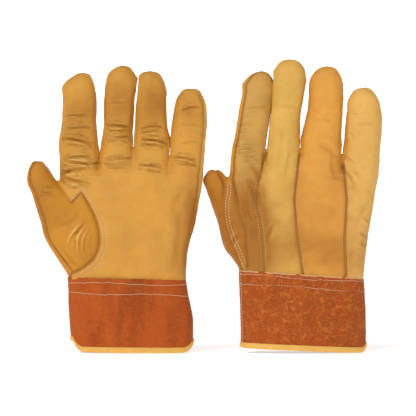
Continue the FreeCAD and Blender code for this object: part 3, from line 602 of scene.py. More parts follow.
def settle(spots, faces, values, origin, rounds=8):
    """Evens out the mesh while keeping it on the surface."""
    edges = edges_of(faces)
    slopes = np.gradient(values, GRID_STEP)
    for _ in range(rounds):
        spots = spots + 0.5 * (neighbour_mean(spots, edges) - spots)
        away = grid_sample(values, spots, origin)
        slope = np.stack([grid_sample(s, spots, origin) for s in slopes], axis=1)
        spots = spots - slope * (away / np.maximum((slope ** 2).sum(1), 0.05))[:, None]
    return spots


# ------------------------------------------------------------------ cutting the skin into panels

PALM, THUMB_FRONT, THUMB_BACK = 0, 13, 14
FRONTS, BACKS, WALLS = 1, 5, 9       # the first of four labels, index to little
WALL_SHARE = 0.52        # a finger's side seams lie at this share of its half depth
WALL_FADE = (30.0, 9.0)  # a sidewall tapers between these distances below the fingertip
OUTER_INSET = 3.6        # the thumb's outer seam lies this far inside the outline
INDEX_INSET = 2.6        # and so does the index finger's
LITTLE_INSET = 2.0       # and the little finger's
THUMB_MIDDLE = 5.0       # depth of the thumb's middle, towards the palm
SPLIT_RISE = 2.0         # a finger starts this far above its higher crotch, as in the frame


def unit(vectors):
    """The vectors at length 1."""
    return vectors / np.maximum(np.linalg.norm(vectors, axis=-1), 1e-9)[..., None]


def run_along(path):
    """How far along an open path each of its points lies."""
    return np.concatenate([[0], np.cumsum(np.linalg.norm(np.diff(path, axis=0), axis=1))])


def smooth_step(value, low, high):
    s = np.clip((value - low) / (high - low), 0, 1)
    return s * s * (3 - 2 * s)


def path_x(path, z):
    """The x of a path that climbs, at each height in z."""
    path = np.array(path, float)
    return np.interp(z, path[:, 1], path[:, 0])


def rounded(path, parts=6):
    """An open path with a smooth curve through its points."""
    path = np.array(path, float)
    runs = run_along(path)
    at = np.linspace(0, runs[-1], parts * (len(path) - 1) + 1)
    slopes = np.gradient(path, runs, axis=0)
    k = np.clip(np.searchsorted(runs, at) - 1, 0, len(runs) - 2)
    run = (runs[k + 1] - runs[k])[:, None]
    s = ((at - runs[k])[:, None]) / run
    low = (1 + 2 * s) * (1 - s) ** 2 * path[k] + s * (1 - s) ** 2 * run * slopes[k]
    return low + s * s * (3 - 2 * s) * path[k + 1] + s * s * (s - 1) * run * slopes[k + 1]


def inside_outline(outline, x, z):
    """Whether each point lies inside a closed outline."""
    inside = np.zeros(len(x), bool)
    for (ax, az), (bx, bz) in zip(outline, np.roll(outline, -1, axis=0)):
        spans = (az > z) != (bz > z)
        with np.errstate(divide="ignore", invalid="ignore"):
            at = ax + (z - az) / (bz - az) * (bx - ax)
        inside ^= spans & (x < at)
    return inside


def thumb_outlines(spec):
    """The outlines of the thumb leather on the palm and on the back of the hand."""
    crotch, leg_end = spec["thumb_crotch"], spec["leg_end"]
    above = [(-130, 200), (crotch[0] - 3.2, 200), (crotch[0] - 2.6, crotch[1] + 20), crotch]
    below = [(-58, 66), (-130, 66)]
    front = above + [leg_end] + [tuple(p) for p in rounded(spec["thumb_seam"])] + below
    back = above[:2] + [tuple(p) for p in rounded(spec["thumb_back_seam"])[::-1]] + below
    whole = above + [(crotch[0] - 3.0, crotch[1]), (-73, 130), (-60, 100), (-54, 75)] + below
    return np.array(front), np.array(back), np.array(whole)


def split_height(spec, k):
    """The height where a finger's own panels begin."""
    crotches = [gap[0][1] for gap in spec["gaps"][max(k - 1, 0):k + 1]]
    return max(crotches) + SPLIT_RISE


def panel_of(spec, spots):
    """The panel that each spot of the skin belongs to."""
    x, t, z = spots.T
    gap_x = [path_x(gap, z) for gap in spec["gaps"]]
    seam_x = [np.where(z < seam[-1][1], path_x(seam, z), gap)
              for seam, gap in zip(spec["back_seams"], gap_x)]
    column = sum((x > gap).astype(int) for gap in gap_x)
    strip = sum((x > seam).astype(int) for seam in seam_x)
    wrap_end_x, wrap_end_z = spec["wrap_seam"][-1]
    hand_left = section_edges(spec["index"], z)[0]
    hand_right = section_edges(spec["little"], z)[1]
    palm_right = np.where(z < 170, np.maximum(section_edges(spec["hand"], z)[1], hand_right), hand_right)
    tip_room = np.clip((spec["index"][-1][0] - z) / 8, 0.1, 1)
    wrap_x = np.where(z < wrap_end_z, path_x(spec["wrap_seam"], z), hand_left + INDEX_INSET * tip_room)
    join = smooth_step(z, wrap_end_z - 2, wrap_end_z + 10)
    wrap_x = np.where(z < wrap_end_z - 2, wrap_x, (1 - join) * wrap_end_x + join * wrap_x)
    little_room = np.clip((spec["little"][-1][0] - z) / 8, 0.1, 1)
    front = np.where(t > 0, x < palm_right - LITTLE_INSET * little_room, x < wrap_x)
    front = np.where((t > 0) & (column < 3), True, front)
    panel = np.full(len(x), PALM)
    splits = np.array([split_height(spec, k) for k in range(4)])
    above = z > splits[column]
    panel[above] = (FRONTS + column)[above]
    panel[~front] = (BACKS + strip)[~front]
    for k, finger in enumerate(FINGERS):
        centre, square, depth, middle = section_at(spec[finger], z, True)
        tip = spec[finger][-1][0]
        fade = 1 - smooth_step(z, tip - WALL_FADE[0], tip - WALL_FADE[1])
        side = x - centre
        wall = np.abs(t - middle) < WALL_SHARE * depth * fade
        wall &= np.abs(side) > 0.3 * np.sqrt(square)
        sides = (side > 0) if k == 0 else (side < 0) if k == 3 else np.full(len(x), True)
        low_crotch = min(gap[0][1] for gap in spec["gaps"][max(k - 1, 0):k + 1]) - 12
        panel[wall & sides & (column == k) & (z > low_crotch)] = WALLS + k
    x_edge = section_edges(spec["thumb"], z)[0]
    room = np.clip((spec["thumb"][-1][0] - z) / 22, 0.05, 1) * np.clip((z - 68) / 6, 0.1, 1)
    outlines = thumb_outlines(spec)
    on_front = t > THUMB_MIDDLE
    thumb_front = on_front & inside_outline(outlines[0], x, z)
    back_side = ~on_front & inside_outline(outlines[1], x, z)
    inner_side = ~on_front & inside_outline(outlines[2], x, z) & ~back_side
    inner_side &= z > spec["thumb_crotch"][1] - 14
    edge_strip = thumb_front & (x < x_edge + OUTER_INSET * room)
    panel[thumb_front | inner_side] = THUMB_FRONT
    panel[back_side | edge_strip] = THUMB_BACK
    return panel


def section_edges(rows, z):
    """The left and right edge of a shape at each height in z."""
    centre, square, _, _ = section_at(rows, z, True)
    half = np.sqrt(square)
    return centre - half, centre + half


def cut_panels(spec, spots, triangles, rounds=12):
    """Cuts the triangles where panels meet. Returns the new spots, triangles and each triangle's panel."""
    labels = panel_of(spec, spots)
    edges = edges_of(triangles)
    split = edges[labels[edges[:, 0]] != labels[edges[:, 1]]]
    low, high = np.zeros(len(split)), np.ones(len(split))
    start, run = spots[split[:, 0]], spots[split[:, 1]] - spots[split[:, 0]]
    home = labels[split[:, 0]]
    for _ in range(rounds):
        middle = (low + high) / 2
        same = panel_of(spec, start + run * middle[:, None]) == home
        low, high = np.where(same, middle, low), np.where(same, high, middle)
    share = np.clip((low + high) / 2, 0.08, 0.92)
    cuts = start + run * share[:, None]
    count = len(spots)
    at_edge = {(a, b): count + k for k, (a, b) in enumerate(split.tolist())}
    centres = []
    corner_labels = labels[triangles]
    whole = (corner_labels == corner_labels[:, :1]).all(1)
    extra, extra_panels = [], []
    base = count + len(split)
    for tri, names in zip(triangles[~whole].tolist(), corner_labels[~whole].tolist()):
        cut = [at_edge.get((min(a, b), max(a, b))) for a, b in zip(tri, tri[1:] + tri[:1])]
        if None in cut:
            k = cut.index(None)
            a, b, c = tri[k], tri[(k + 1) % 3], tri[(k + 2) % 3]
            ab_name, c_name = names[k], names[(k + 2) % 3]
            bc, ca = cut[(k + 1) % 3], cut[(k + 2) % 3]
            extra += [(a, b, bc), (a, bc, ca), (bc, c, ca)]
            extra_panels += [ab_name, ab_name, c_name]
        else:
            middle = base + len(centres)
            centres.append(np.mean([cuts[e - count] for e in cut], axis=0))
            for k in range(3):
                extra += [(tri[k], cut[k], middle), (tri[k], middle, cut[k - 1])]
                extra_panels += [names[k], names[k]]
    spots = np.concatenate([spots, cuts] + ([np.array(centres)] if centres else []))
    triangles = np.concatenate([triangles[whole], np.array(extra)])
    return spots, triangles, np.concatenate([corner_labels[whole, 0], np.array(extra_panels)])


# ------------------------------------------------------------------ seams, folds and slack

GRAIN_SIDE, FLESH_SIDE = 0, 1
WALL_SEAM = 0.35         # depth of a finger's side seams as a share of the other seams'
NARROW = 1.7             # creases under this half width need the finer mesh
SEAM_REACH = 2.4         # the finer mesh reaches this far from a seam


def panels_at(count, triangles, panels):
    """For each spot, the panels that meet there, as one bit each."""
    met = np.zeros(count, int)
    for k in range(3):
        np.bitwise_or.at(met, triangles[:, k], 1 << panels)
    return met


def joined_spots(spec, spots, met):
    """Spots where two pieces meet without a seam, because the leather runs on."""
    joined = np.zeros(len(spots), bool)
    for k in range(4):
        joined |= met == (1 << PALM | 1 << (FRONTS + k))
    x, t, z = spots.T
    beside = (t < 5) | ((x < spec["leg_end"][0]) & (z > 120))
    return joined | ((met == (1 << PALM | 1 << THUMB_FRONT)) & beside)


def distance_to(spots, targets):
    tree = KDTree(len(targets))
    for k, spot in enumerate(targets):
        tree.insert(spot, k)
    tree.balance()
    return np.array([tree.find(spot)[2] for spot in spots])


def wander(spots, size, seed):
    """Smooth noise between about -1 and 1, with features of the given size in millimetres."""
    offset = Vector((seed * 7.3, seed * 3.1, seed * 5.7))
    return np.array([noise.noise(Vector(spot) / size + offset) for spot in spots]) * 1.6


def fold_shape(fold, spots, normals):
    """How much one crease moves the skin outwards, how much painted shade it puts in its valley, and how much
    it crinkles what is round it.
    """
    fx, fz, half, tilt, bow, depth, width, side = fold
    c, s = math.cos(math.radians(tilt)), math.sin(math.radians(tilt))
    dx, dz = spots[:, 0] - fx, spots[:, 2] - fz
    along = (dx * c + dz * s) / half
    across = -dx * s + dz * c - bow * (1 - along ** 2)
    taper = np.maximum(1 - along ** 2, 0) ** 0.7 * smooth_step(normals[:, 1] * side, 0.1, 0.5)
    valley = taper * np.exp(-(across / width) ** 2)
    banks = taper * np.exp(-((np.abs(across) - 2.0 * width) / (1.3 * width)) ** 2)
    near = taper * np.exp(-(across / (4.2 * width)) ** 2) * depth * (width < 1.6) * (abs(tilt) < 45)
    return depth * (0.7 * banks - valley), valley * depth * min(1.0, 1.1 / width), near


def refine(spots, triangles, panels, near):
    """Splits each triangle near a seam or a crease into four, and its neighbours to match."""
    edges = edges_of(triangles)
    marked = edges[near[edges].all(1)]
    count = len(spots)
    keys = marked.min(1) * count + marked.max(1)
    order = np.argsort(keys)
    ahead = np.roll(triangles, -1, axis=1)
    wanted = np.minimum(triangles, ahead) * count + np.maximum(triangles, ahead)
    place = np.clip(np.searchsorted(keys[order], wanted), 0, len(keys) - 1)
    middle = np.where(keys[order][place] == wanted, count + order[place], -1)
    splits = (middle >= 0).sum(1)
    a, b, c = triangles[splits == 3].T
    ab, bc, ca = middle[splits == 3].T
    four = ((a, ab, ca), (ab, b, bc), (ca, bc, c), (ab, bc, ca))
    quarters = np.concatenate([np.stack(corners, 1) for corners in four])
    single = splits == 1
    turn = middle[single].argmax(1)
    rows = np.arange(single.sum())
    a, b, c = (triangles[single][rows, (turn + k) % 3] for k in range(3))
    ab = middle[single].max(1)
    halves = np.concatenate([np.stack((a, ab, c), 1), np.stack((ab, b, c), 1)])
    kept = panels[splits == 0], np.tile(panels[splits == 3], 4), np.tile(panels[single], 2)
    spots = np.concatenate([spots, spots[marked].mean(1)])
    return spots, np.concatenate([triangles[splits == 0], quarters, halves]), np.concatenate(kept)


def near_detail(spec, spots, triangles, panels):
    """Spots close to a seam or a crease, where the skin needs a finer mesh."""
    met = panels_at(len(spots), triangles, panels)
    seam = ((met & (met - 1)) > 0) & ~joined_spots(spec, spots, met)
    near = distance_to(spots, spots[seam]) < SEAM_REACH
    calm = vertex_normals(spots, triangles)
    for fold in spec["folds"]:
        if fold[6] < NARROW:
            near |= np.abs(fold_shape(fold, spots, calm)[0]) > 0.04
    return near


def vertex_normals(spots, triangles):
    a, b, c = (spots[triangles[:, k]] for k in range(3))
    face = np.cross(b - a, c - a)
    total = np.zeros_like(spots)
    for k in range(3):
        for axis in range(3):
            total[:, axis] += np.bincount(triangles[:, k], face[:, axis], len(spots))
    return unit(total)


def sculpt(spec, settings):
    """One glove's whole skin, with its folds: spots, triangles, panels, normals, and a mark of painted shade,
    painted highlight and stain for the leather's colour.
    """
    x, t = np.arange(-98, 76, GRID_STEP), np.arange(-24, 28, GRID_STEP)
    z = np.arange(SKIN_FOOT - 3, 272, GRID_STEP)
    origin = np.array([x[0], t[0], z[0]])
    values = glove_field(spec, x, t, z)
    spots, quads = surface_net(values, origin)
    spots = settle(spots, quads, values, origin)
    triangles = np.concatenate([quads[:, [0, 1, 2]], quads[:, [0, 2, 3]]])
    triangles = triangles[spots[triangles][:, :, 2].min(1) > SKIN_FOOT]
    used, triangles = np.unique(triangles, return_inverse=True)
    spots, triangles = spots[used], triangles.reshape(-1, 3)
    spots, triangles, panels = cut_panels(spec, spots, triangles)
    near = near_detail(spec, spots, triangles, panels)
    spots, triangles, panels = refine(spots, triangles, panels, near)
    calm = vertex_normals(spots, triangles)
    met = panels_at(len(spots), triangles, panels)
    several = (met & (met - 1)) > 0
    joined = joined_spots(spec, spots, met)
    beside_wall = (met >> WALLS) & 15 > 0
    to_wall = distance_to(spots, spots[several & ~joined & beside_wall])
    to_seam = distance_to(spots, spots[several & ~joined & ~beside_wall])
    valley = np.exp(-(to_seam / settings.seam_width) ** 2)
    valley += WALL_SEAM * np.exp(-(to_wall / 1.2) ** 2)
    valley *= 1 - 0.55 * smooth_step(spots[:, 0], 44, 50)
    move = -settings.seam_depth * valley
    for gap in spec["gaps"]:
        away = np.abs(spots[:, 0] - path_x(gap, spots[:, 2])) - FINGER_APART
        wall = smooth_step(np.abs(calm[:, 0]), 0.4, 0.8)
        wall *= smooth_step(spots[:, 2], gap[0][1] - 1, gap[0][1] + 4)
        move += CLOSING * wall * np.exp(-(away / 0.6) ** 2)
    move += 0.35 * settings.seam_depth * np.exp(-((to_seam - 4.0) / 2.2) ** 2)
    # painted shade beside the seams, with some staining there
    tone = 0.65 * np.exp(-(to_seam / 1.1) ** 2) + 0.18 * np.exp(-to_seam / 4.5)
    # that painted seam shade is stronger along the thumb's outer edge and weaker along the little finger's
    # edge
    tone *= 1 + 0.8 * smooth_step(-spots[:, 0], 55, 66) - 0.5 * smooth_step(spots[:, 0], 44, 50)
    crinkle = np.zeros(len(spots))
    # painted shade beside the finger side seams
    tone += WALL_SEAM * 0.4 * np.exp(-(to_wall / 1.0) ** 2)
    # darker patches: partly dye, partly painted shade
    for place_x, place_z, half_x, half_z, strength, side in spec["dye_and_shade_patches"]:
        away = ((spots[:, 0] - place_x) / half_x) ** 2 + ((spots[:, 2] - place_z) / half_z) ** 2
        tone += 0.9 * strength * np.exp(-away) * smooth_step(calm[:, 1] * side, -0.35, 0.2)
    for fold in spec["folds"]:
        lift, dark, near = fold_shape(fold, spots, calm)
        move += lift * settings.crease_depth
        # painted shade in each crease's valley, and a painted highlight (negative values) on the raised banks
        # of narrow creases
        tone += 0.40 * dark - 0.5 * np.maximum(lift, 0) * (fold[6] < NARROW)
        crinkle += near
    seed = spec["seed"]
    free = smooth_step(spots[:, 2], 74, 96)
    move += settings.slack * free * wander(spots, 26.0, seed)
    small = wander(spots, 8.0, seed + 4)
    move += 0.3 * settings.slack * free * small
    tone += 0.1 * np.maximum(small, 0) + 0.16 * np.maximum(wander(spots, 34.0, seed + 8), 0)
    moved = spots + calm * move[:, None]
    return {"spots": moved, "triangles": triangles, "panels": panels, "joined": joined, "calm": calm,
            "normals": vertex_normals(moved, triangles),
            "tone": np.clip(tone, -1, 1), "crinkle": np.clip(crinkle, 0, 1),
            "tree": BVHTree.FromPolygons(moved.tolist(), triangles.tolist())}


SKINS = {}


def skin_of(spec):
    """The glove's skin, sculpted when it is first asked for."""
    if spec["name"] not in SKINS:
        SKINS[spec["name"]] = sculpt(spec, bpy.context.scene.glove_leather)
    return SKINS[spec["name"]]


# ------------------------------------------------------------------ making pieces


def to_frame(spec, spots):
    """Takes millimetres in the glove's own frame to metres in the row frame."""
    low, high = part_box(spec["name"] + "_cuff_binding")
    spots = np.array(spots, float) * (1, spec["palm"], 1) * MM
    spots[:, 0] += (low[0] + high[0]) / 2 - spec["middle_x"] * MM
    return spots


def mesh_piece(spec, name, spots, faces, kinds=None, normals=None, marks=None, materials=()):
    """A mesh object from a glove's own millimetres. normals are one for each corner of each face."""
    mirrored = spec["palm"] < 0
    order = [tuple(face[::-1]) if mirrored else tuple(face) for face in faces]
    mesh = bpy.data.meshes.new(name)
    mesh.from_pydata(to_frame(spec, spots).tolist(), [], order)
    for material in materials:
        mesh.materials.append(material)
    if kinds is not None:
        mesh.polygons.foreach_set("material_index", np.asarray(kinds, np.int32))
    rest = mesh.attributes.new("rest_place", "FLOAT_VECTOR", "POINT")
    rest.data.foreach_set("vector", (np.asarray(spots, float) * MM).astype(np.float32).ravel())
    for mark, values in (marks or {}).items():
        attribute = mesh.attributes.new(mark, "FLOAT", "POINT")
        attribute.data.foreach_set("value", values.astype(np.float32))
    mesh.polygons.foreach_set("use_smooth", np.ones(len(mesh.polygons), bool))
    if normals is not None:
        turned = [n[::-1] if mirrored else n for n in normals]
        flat = np.concatenate(turned) * (1, spec["palm"], 1)
        mesh.normals_split_custom_set(flat.tolist())
    piece = bpy.data.objects.new(name, mesh)
    bpy.context.scene.collection.objects.link(piece)
    return piece


def leather_panel(spec, name, labels, material):
    """Cuts one panel out of the skin and gives it the leather's thickness."""
    settings = bpy.context.scene.glove_leather
    skin = skin_of(spec)
    triangles = skin["triangles"][np.isin(skin["panels"], labels)]
    used, triangles = np.unique(triangles, return_inverse=True)
    triangles = triangles.reshape(-1, 3)
    count = len(used)
    spots = skin["spots"][used]
    own = vertex_normals(spots, triangles)
    normals = np.where(skin["joined"][used][:, None], skin["normals"][used], own)
    inner = spots - skin["calm"][used] * settings.thickness
    edges = np.concatenate([triangles[:, [k, (k + 1) % 3]] for k in range(3)])
    codes, backward = edges[:, 0] * count + edges[:, 1], edges[:, 1] * count + edges[:, 0]
    rim = edges[~np.isin(codes, backward)]
    walls = np.stack([rim[:, 1], rim[:, 0], rim[:, 0] + count, rim[:, 1] + count], axis=1)
    all_spots = np.concatenate([spots, inner])
    lining = triangles[:, ::-1] + count
    corners = [normals[triangles], -normals[lining - count]]
    corner = all_spots[walls[:, 0]]
    edge_a, edge_b = all_spots[walls[:, 1]] - corner, all_spots[walls[:, 3]] - corner
    across = unit(np.cross(edge_a, edge_b))
    corner_normals = [*corners[0], *corners[1], *np.repeat(across[:, None, :], 4, axis=1)]
    faces = triangles.tolist() + lining.tolist() + walls.tolist()
    kinds = [GRAIN_SIDE] * len(triangles) + [FLESH_SIDE] * (len(lining) + len(walls))
    # the mark of painted shade, painted highlight and stain, and the crinkle mark, go on the grain side only
    marks = {mark: np.concatenate([skin[mark][used], np.zeros(count)]) for mark in ("tone", "crinkle")}
    flesh = flesh_material()
    return mesh_piece(spec, name, all_spots, faces, kinds, corner_normals, marks, (material, flesh))


def joint_of(name):
    return next(joint for joint in frame["joints"] if joint["name"] == name)


THUMB_BEND = (0.006, 0.024)      # distances out from the thumb's joint, which bend_thumb turns into two points


def bend_finger(piece):
    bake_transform(piece)


def bend_thumb(piece, side):
    joint = joint_of(f"{side}_thumb_flex")
    start, axis = Vector(joint["pos_m"]), Vector(joint["axis"])
    out = Vector((axis.z, 0, -axis.x)) * -math.copysign(1, axis.z)
    start, end = start + out * THUMB_BEND[0], start + out * THUMB_BEND[1]
    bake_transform(piece)


class Bundle:
    """Many small closed shapes gathered into one mesh."""

    def __init__(self):
        self.spots, self.faces = [], []

    def tube(self, rings):
        """Adds a closed tube through rings of spots, capped at both ends."""
        base, count, around = len(self.spots), len(rings), len(rings[0])
        for ring in rings:
            self.spots.extend(ring)
        for k in range(count - 1):
            for j in range(around):
                a, b = base + k * around + j, base + k * around + (j + 1) % around
                self.faces.append((a, b, b + around, a + around))
        self.faces.append(tuple(base + j for j in range(around))[::-1])
        self.faces.append(tuple(base + (count - 1) * around + j for j in range(around)))

    def piece(self, spec, name, materials):
        piece = mesh_piece(spec, name, np.array(self.spots), self.faces, materials=materials)
        mend_normals(piece.data)
        return piece


def mend_normals(mesh):
    """Turns every closed shape's faces outwards."""
    work = bmesh.new()
    work.from_mesh(mesh)
    bmesh.ops.recalc_face_normals(work, faces=work.faces)
    work.to_mesh(mesh)
    work.free()


def spaced(path, step):
    """An open path's points at about equal steps."""
    path = np.array(path, float)
    runs = run_along(path)
    at = np.linspace(0, runs[-1], max(int(round(runs[-1] / step)), 2) + 1)
    return np.stack([np.interp(at, runs, path[:, k]) for k in range(path.shape[1])], axis=1)


def beside(path, offset):
    """An open path moved sideways, to its right as it runs; offset is one number or one at each point."""
    along = unit(np.gradient(path, axis=0))
    return path + np.stack([along[:, 1], -along[:, 0]], axis=1) * np.reshape(offset, (-1, 1))


def on_skin(skin, path, side):
    """Where points (x, z) meet the skin on the palm side (1) or the back (-1), with the normals there."""
    hits, normals = [], []
    for x, z in path:
        spot, normal, _, _ = skin["tree"].ray_cast(Vector((x, 60.0 * side, z)), Vector((0, -side, 0)))
        if spot is not None:
            hits.append(spot[:])
            normals.append(normal[:])
    hits, normals = np.array(hits), np.array(normals)
    for _ in range(2):
        normals[1:-1] = (normals[:-2] + 2 * normals[1:-1] + normals[2:]) / 4
    return hits, unit(normals)


def side_of(spots, normals):
    """The direction across a path, along the surface, at each of its spots."""
    return np.cross(unit(np.gradient(spots, axis=0)), normals)


def add_ridge(bundle, spots, normals, half_width, height, sink=0.5, around=10, taper=4):
    """A rounded ridge that lies on a surface along a path."""
    across = side_of(spots, normals)
    rings = []
    for k, (spot, normal, side) in enumerate(zip(spots, normals, across)):
        room = min(1.0, 0.25 + 0.75 * min(k, len(spots) - 1 - k) / taper)
        ring = []
        for j in range(around):
            angle = 2 * math.pi * j / around
            lift = math.sin(angle)
            rise = height * lift * room if lift > 0 else sink * lift
            ring.append(spot + side * half_width * room * math.cos(angle) + normal * rise)
        rings.append(ring)
    bundle.tube(rings)


STITCH_RINGS, STITCH_SIDES = 5, 6


def add_stitches(bundle, spots, normals, settings, rng, lift=0.15, gap=None):
    """A row of stitches along a path on a surface."""
    runs = run_along(spots)
    pitch = settings.length + (settings.gap if gap is None else gap)
    at = 0.0
    while at + settings.length <= runs[-1]:
        length = settings.length * rng.uniform(0.92, 1.08)
        drift = rng.uniform(-0.12, 0.12, 2)
        places = at + length * np.linspace(0, 1, STITCH_RINGS)
        centre = np.stack([np.interp(places, runs, spots[:, k]) for k in range(3)], axis=1)
        normal = np.stack([np.interp(places, runs, normals[:, k]) for k in range(3)], axis=1)
        normal = unit(normal)
        across = side_of(centre, normal)
        radius = settings.thickness / 2
        rings = []
        for k in range(STITCH_RINGS):
            share = k / (STITCH_RINGS - 1)
            rise = math.sin(math.pi * share)
            middle = centre[k] + normal[k] * (lift - 0.4 + 0.5 * rise)
            middle = middle + across[k] * (drift[0] + (drift[1] - drift[0]) * share)
            size = radius * (0.62 + 0.38 * rise)
            turns = [2 * math.pi * j / STITCH_SIDES for j in range(STITCH_SIDES)]
            rings.append([middle + size * (across[k] * math.cos(a) + normal[k] * math.sin(a)) for a in turns])
        bundle.tube(rings)
        at += pitch


# ------------------------------------------------------------------ the cuff

CUFF_POWER = 2.5         # superellipse power of the cuff's section
CUFF_MIDDLE = 35.0       # distances round the cuff are measured at this height
ONE_TURN = 6.283         # in radians
CUFF_STEPS = 260         # places round the cuff
CUFF_ROWS = 34           # rows from hem to top


def section_turn(spec):
    """How far round the cuff each turning angle lies, from the thumb edge over the palm side."""
    angle = np.linspace(0, 2 * math.pi, 2001)
    x, t = cuff_outline(spec, angle, np.full(len(angle), CUFF_MIDDLE))
    runs = np.concatenate([[0], np.cumsum(np.hypot(np.diff(x), np.diff(t)))])
    return runs, angle


def cuff_outline(spec, angle, z):
    rows = np.array(spec["cuff"], float)
    left, right, deep = (curve_through(rows[:, 0], rows[:, k], z) for k in (1, 2, 3))
    c, s = np.cos(angle), np.sin(angle)
    x = (left + right) / 2 - (right - left) / 2 * np.sign(c) * np.abs(c) ** (2 / CUFF_POWER)
    return x, deep * np.sign(s) * np.abs(s) ** (2 / CUFF_POWER)


def cuff_length(spec):
    return section_turn(spec)[0][-1]


def cuff_spots(spec, around, z, proud=0.0):
    """Spots on the cuff's outer face, around millimetres from the thumb edge, and their outward normals."""
    runs, angles = section_turn(spec)
    around, z = np.broadcast_arrays(np.asarray(around, float), np.asarray(z, float))
    step = 0.4
    outline = [cuff_outline(spec, np.interp(np.mod(around + d, runs[-1]), runs, angles), z)
               for d in (-step, 0, step)]
    tangent = np.stack([outline[2][0] - outline[0][0], outline[2][1] - outline[0][1]], axis=-1)
    tangent = unit(tangent)
    x, t = outline[1]
    flat = np.stack([x, t, z], axis=-1)
    normals = np.stack([-tangent[..., 1], tangent[..., 0], np.zeros_like(z)], axis=-1)
    seed = 5.0 + 6.0 * spec["seed"]
    spots = flat.reshape(-1, 3) * (1.0, 1.0, 0.55)
    wave = (0.6 * wander(spots, 24.0, seed) + 0.22 * wander(spots, 7.0, seed + 3)).reshape(z.shape)
    wave *= 0.25 + 0.75 * np.minimum(np.clip(z, 0, 40) / 18, 1)
    return flat + normals * (wave + proud)[..., None], normals


def cuff_limits(spec, around):
    """Height of the hem and of the top edge at places round the cuff."""
    angle = np.interp(np.mod(around, cuff_length(spec)), *section_turn(spec))
    x, _ = cuff_outline(spec, angle, np.full(len(around), CUFF_MIDDLE))
    left, right = spec["cuff"][0][1:3]
    share = (x - (left + right) / 2) / ((right - left) / 2)
    hem = -spec["hem_tilt"] * (1 - share) / 2
    for corner, inside in zip(spec["hem_corners"], (x - left, right - x)):
        room = np.clip((corner - inside) / corner, 0, 1)
        hem = np.maximum(hem, corner * (1 - np.sqrt(1 - room * room * 0.98)))
    top = spec["cuff_top"][0] + spec["cuff_top"][1] * share
    seed = Vector((0, 0, 19.0 + 12.0 * spec["seed"]))
    turns = around / cuff_length(spec) * ONE_TURN
    ragged = [noise.noise(Vector((math.cos(a) * 9, math.sin(a) * 9, 0)) + seed) for a in turns]
    return hem, top + 0.8 * np.array(ragged)


def cuff_panel(spec, name, start, stop, materials, proud):
    """One leather of the cuff, from start to stop millimetres round it."""
    settings = bpy.context.scene.glove_cuff
    count = int(abs(stop - start) / cuff_length(spec) * CUFF_STEPS)
    around = np.linspace(start, stop, count)
    hem, top = cuff_limits(spec, around)
    share = np.append(np.linspace(0, 0.984, CUFF_ROWS - 1), 1)
    foot = hem + settings.binding_wall
    z = foot[None, :] + share[:, None] * (top - foot)[None, :]
    edge = np.minimum(np.arange(count), np.arange(count)[::-1]) / 3
    lean = np.broadcast_to(np.minimum(edge, 1) * proud, z.shape)
    outer, normals = cuff_spots(spec, np.broadcast_to(around, z.shape), z, lean)
    inner = outer - normals * settings.thickness
    size = CUFF_ROWS * count
    grid = np.arange(size).reshape(CUFF_ROWS, count)
    a, b = grid[:-1, :-1].ravel(), grid[:-1, 1:].ravel()
    c, d = grid[1:, 1:].ravel(), grid[1:, :-1].ravel()
    faces = [np.stack([a, b, c, d], 1), np.stack([d, c, b, a], 1) + size]
    rims = []
    for line in (grid[0, ::-1], grid[:, 0], grid[-1, :], grid[::-1, -1]):
        rims.append(np.stack([line[:-1], line[1:], line[1:] + size, line[:-1] + size], 1))
    pale = [int(proud == 0 and noise.noise(Vector((0.12 * place, 0, 7.0))) > -0.2) for place in around[1:]]
    hidden = len(faces[1]) + sum(len(rim) for rim in rims)
    kinds = [0] * (len(faces[0]) - len(pale)) + pale + [1] * hidden
    all_faces = np.concatenate(faces + rims).tolist()
    spots = np.concatenate([outer.reshape(-1, 3), inner.reshape(-1, 3)])
    piece = mesh_piece(spec, name, spots, all_faces, kinds, materials=materials)
    mend_normals(piece.data)
    sharpen_rim(piece.data)
    return piece


def sharpen_rim(mesh):
    """Keeps the cut edges of a panel crisp."""
    work = bmesh.new()
    work.from_mesh(mesh)
    for edge in work.edges:
        if len(edge.link_faces) == 2 and edge.calc_face_angle(0) > math.radians(50):
            edge.smooth = False
    work.to_mesh(mesh)
    work.free()


def binding_profile(settings):
    """The U of leather folded round the hem: distance out from the cuff's face, and height above the hem."""
    wall, height, cuff = settings.binding_wall, settings.binding_height, settings.thickness
    outside = [(0.1, height), (wall * 0.7, height - 0.1), (wall + 0.15, height - 0.8)]
    outside += [(wall + 0.3, height * 0.5), (wall, 1.4), (wall * 0.6, 0.4), (-cuff * 0.3, 0.0)]
    outside += [(-cuff * 0.8, 0.1), (-cuff - wall * 0.7, 0.6)]
    inside = [(-cuff - wall, 1.6), (-cuff - wall, height - 0.6), (-cuff - 0.1, height)]
    return outside + inside + [(-cuff - 0.1, wall), (0.1, wall)]


def hem_binding(spec, name, material):
    settings = bpy.context.scene.glove_cuff
    around = np.linspace(0, cuff_length(spec), CUFF_STEPS, endpoint=False)
    hem, _ = cuff_limits(spec, around)
    rings = []
    for out, height in binding_profile(settings):
        spots, _ = cuff_spots(spec, around, hem + height, out)
        spots[:, 2] = hem + height
        rings.append(spots)
    count, across = len(around), len(rings)
    spots = np.concatenate(rings)
    faces = []
    for k in range(across):
        for j in range(count):
            following, beyond = (k + 1) % across, (j + 1) % count
            near, far = k * count, following * count
            faces.append((near + j, near + beyond, far + beyond, far + j))
    piece = mesh_piece(spec, name, spots, faces, materials=(material,))
    mend_normals(piece.data)
    return piece


# ------------------------------------------------------------------ materials


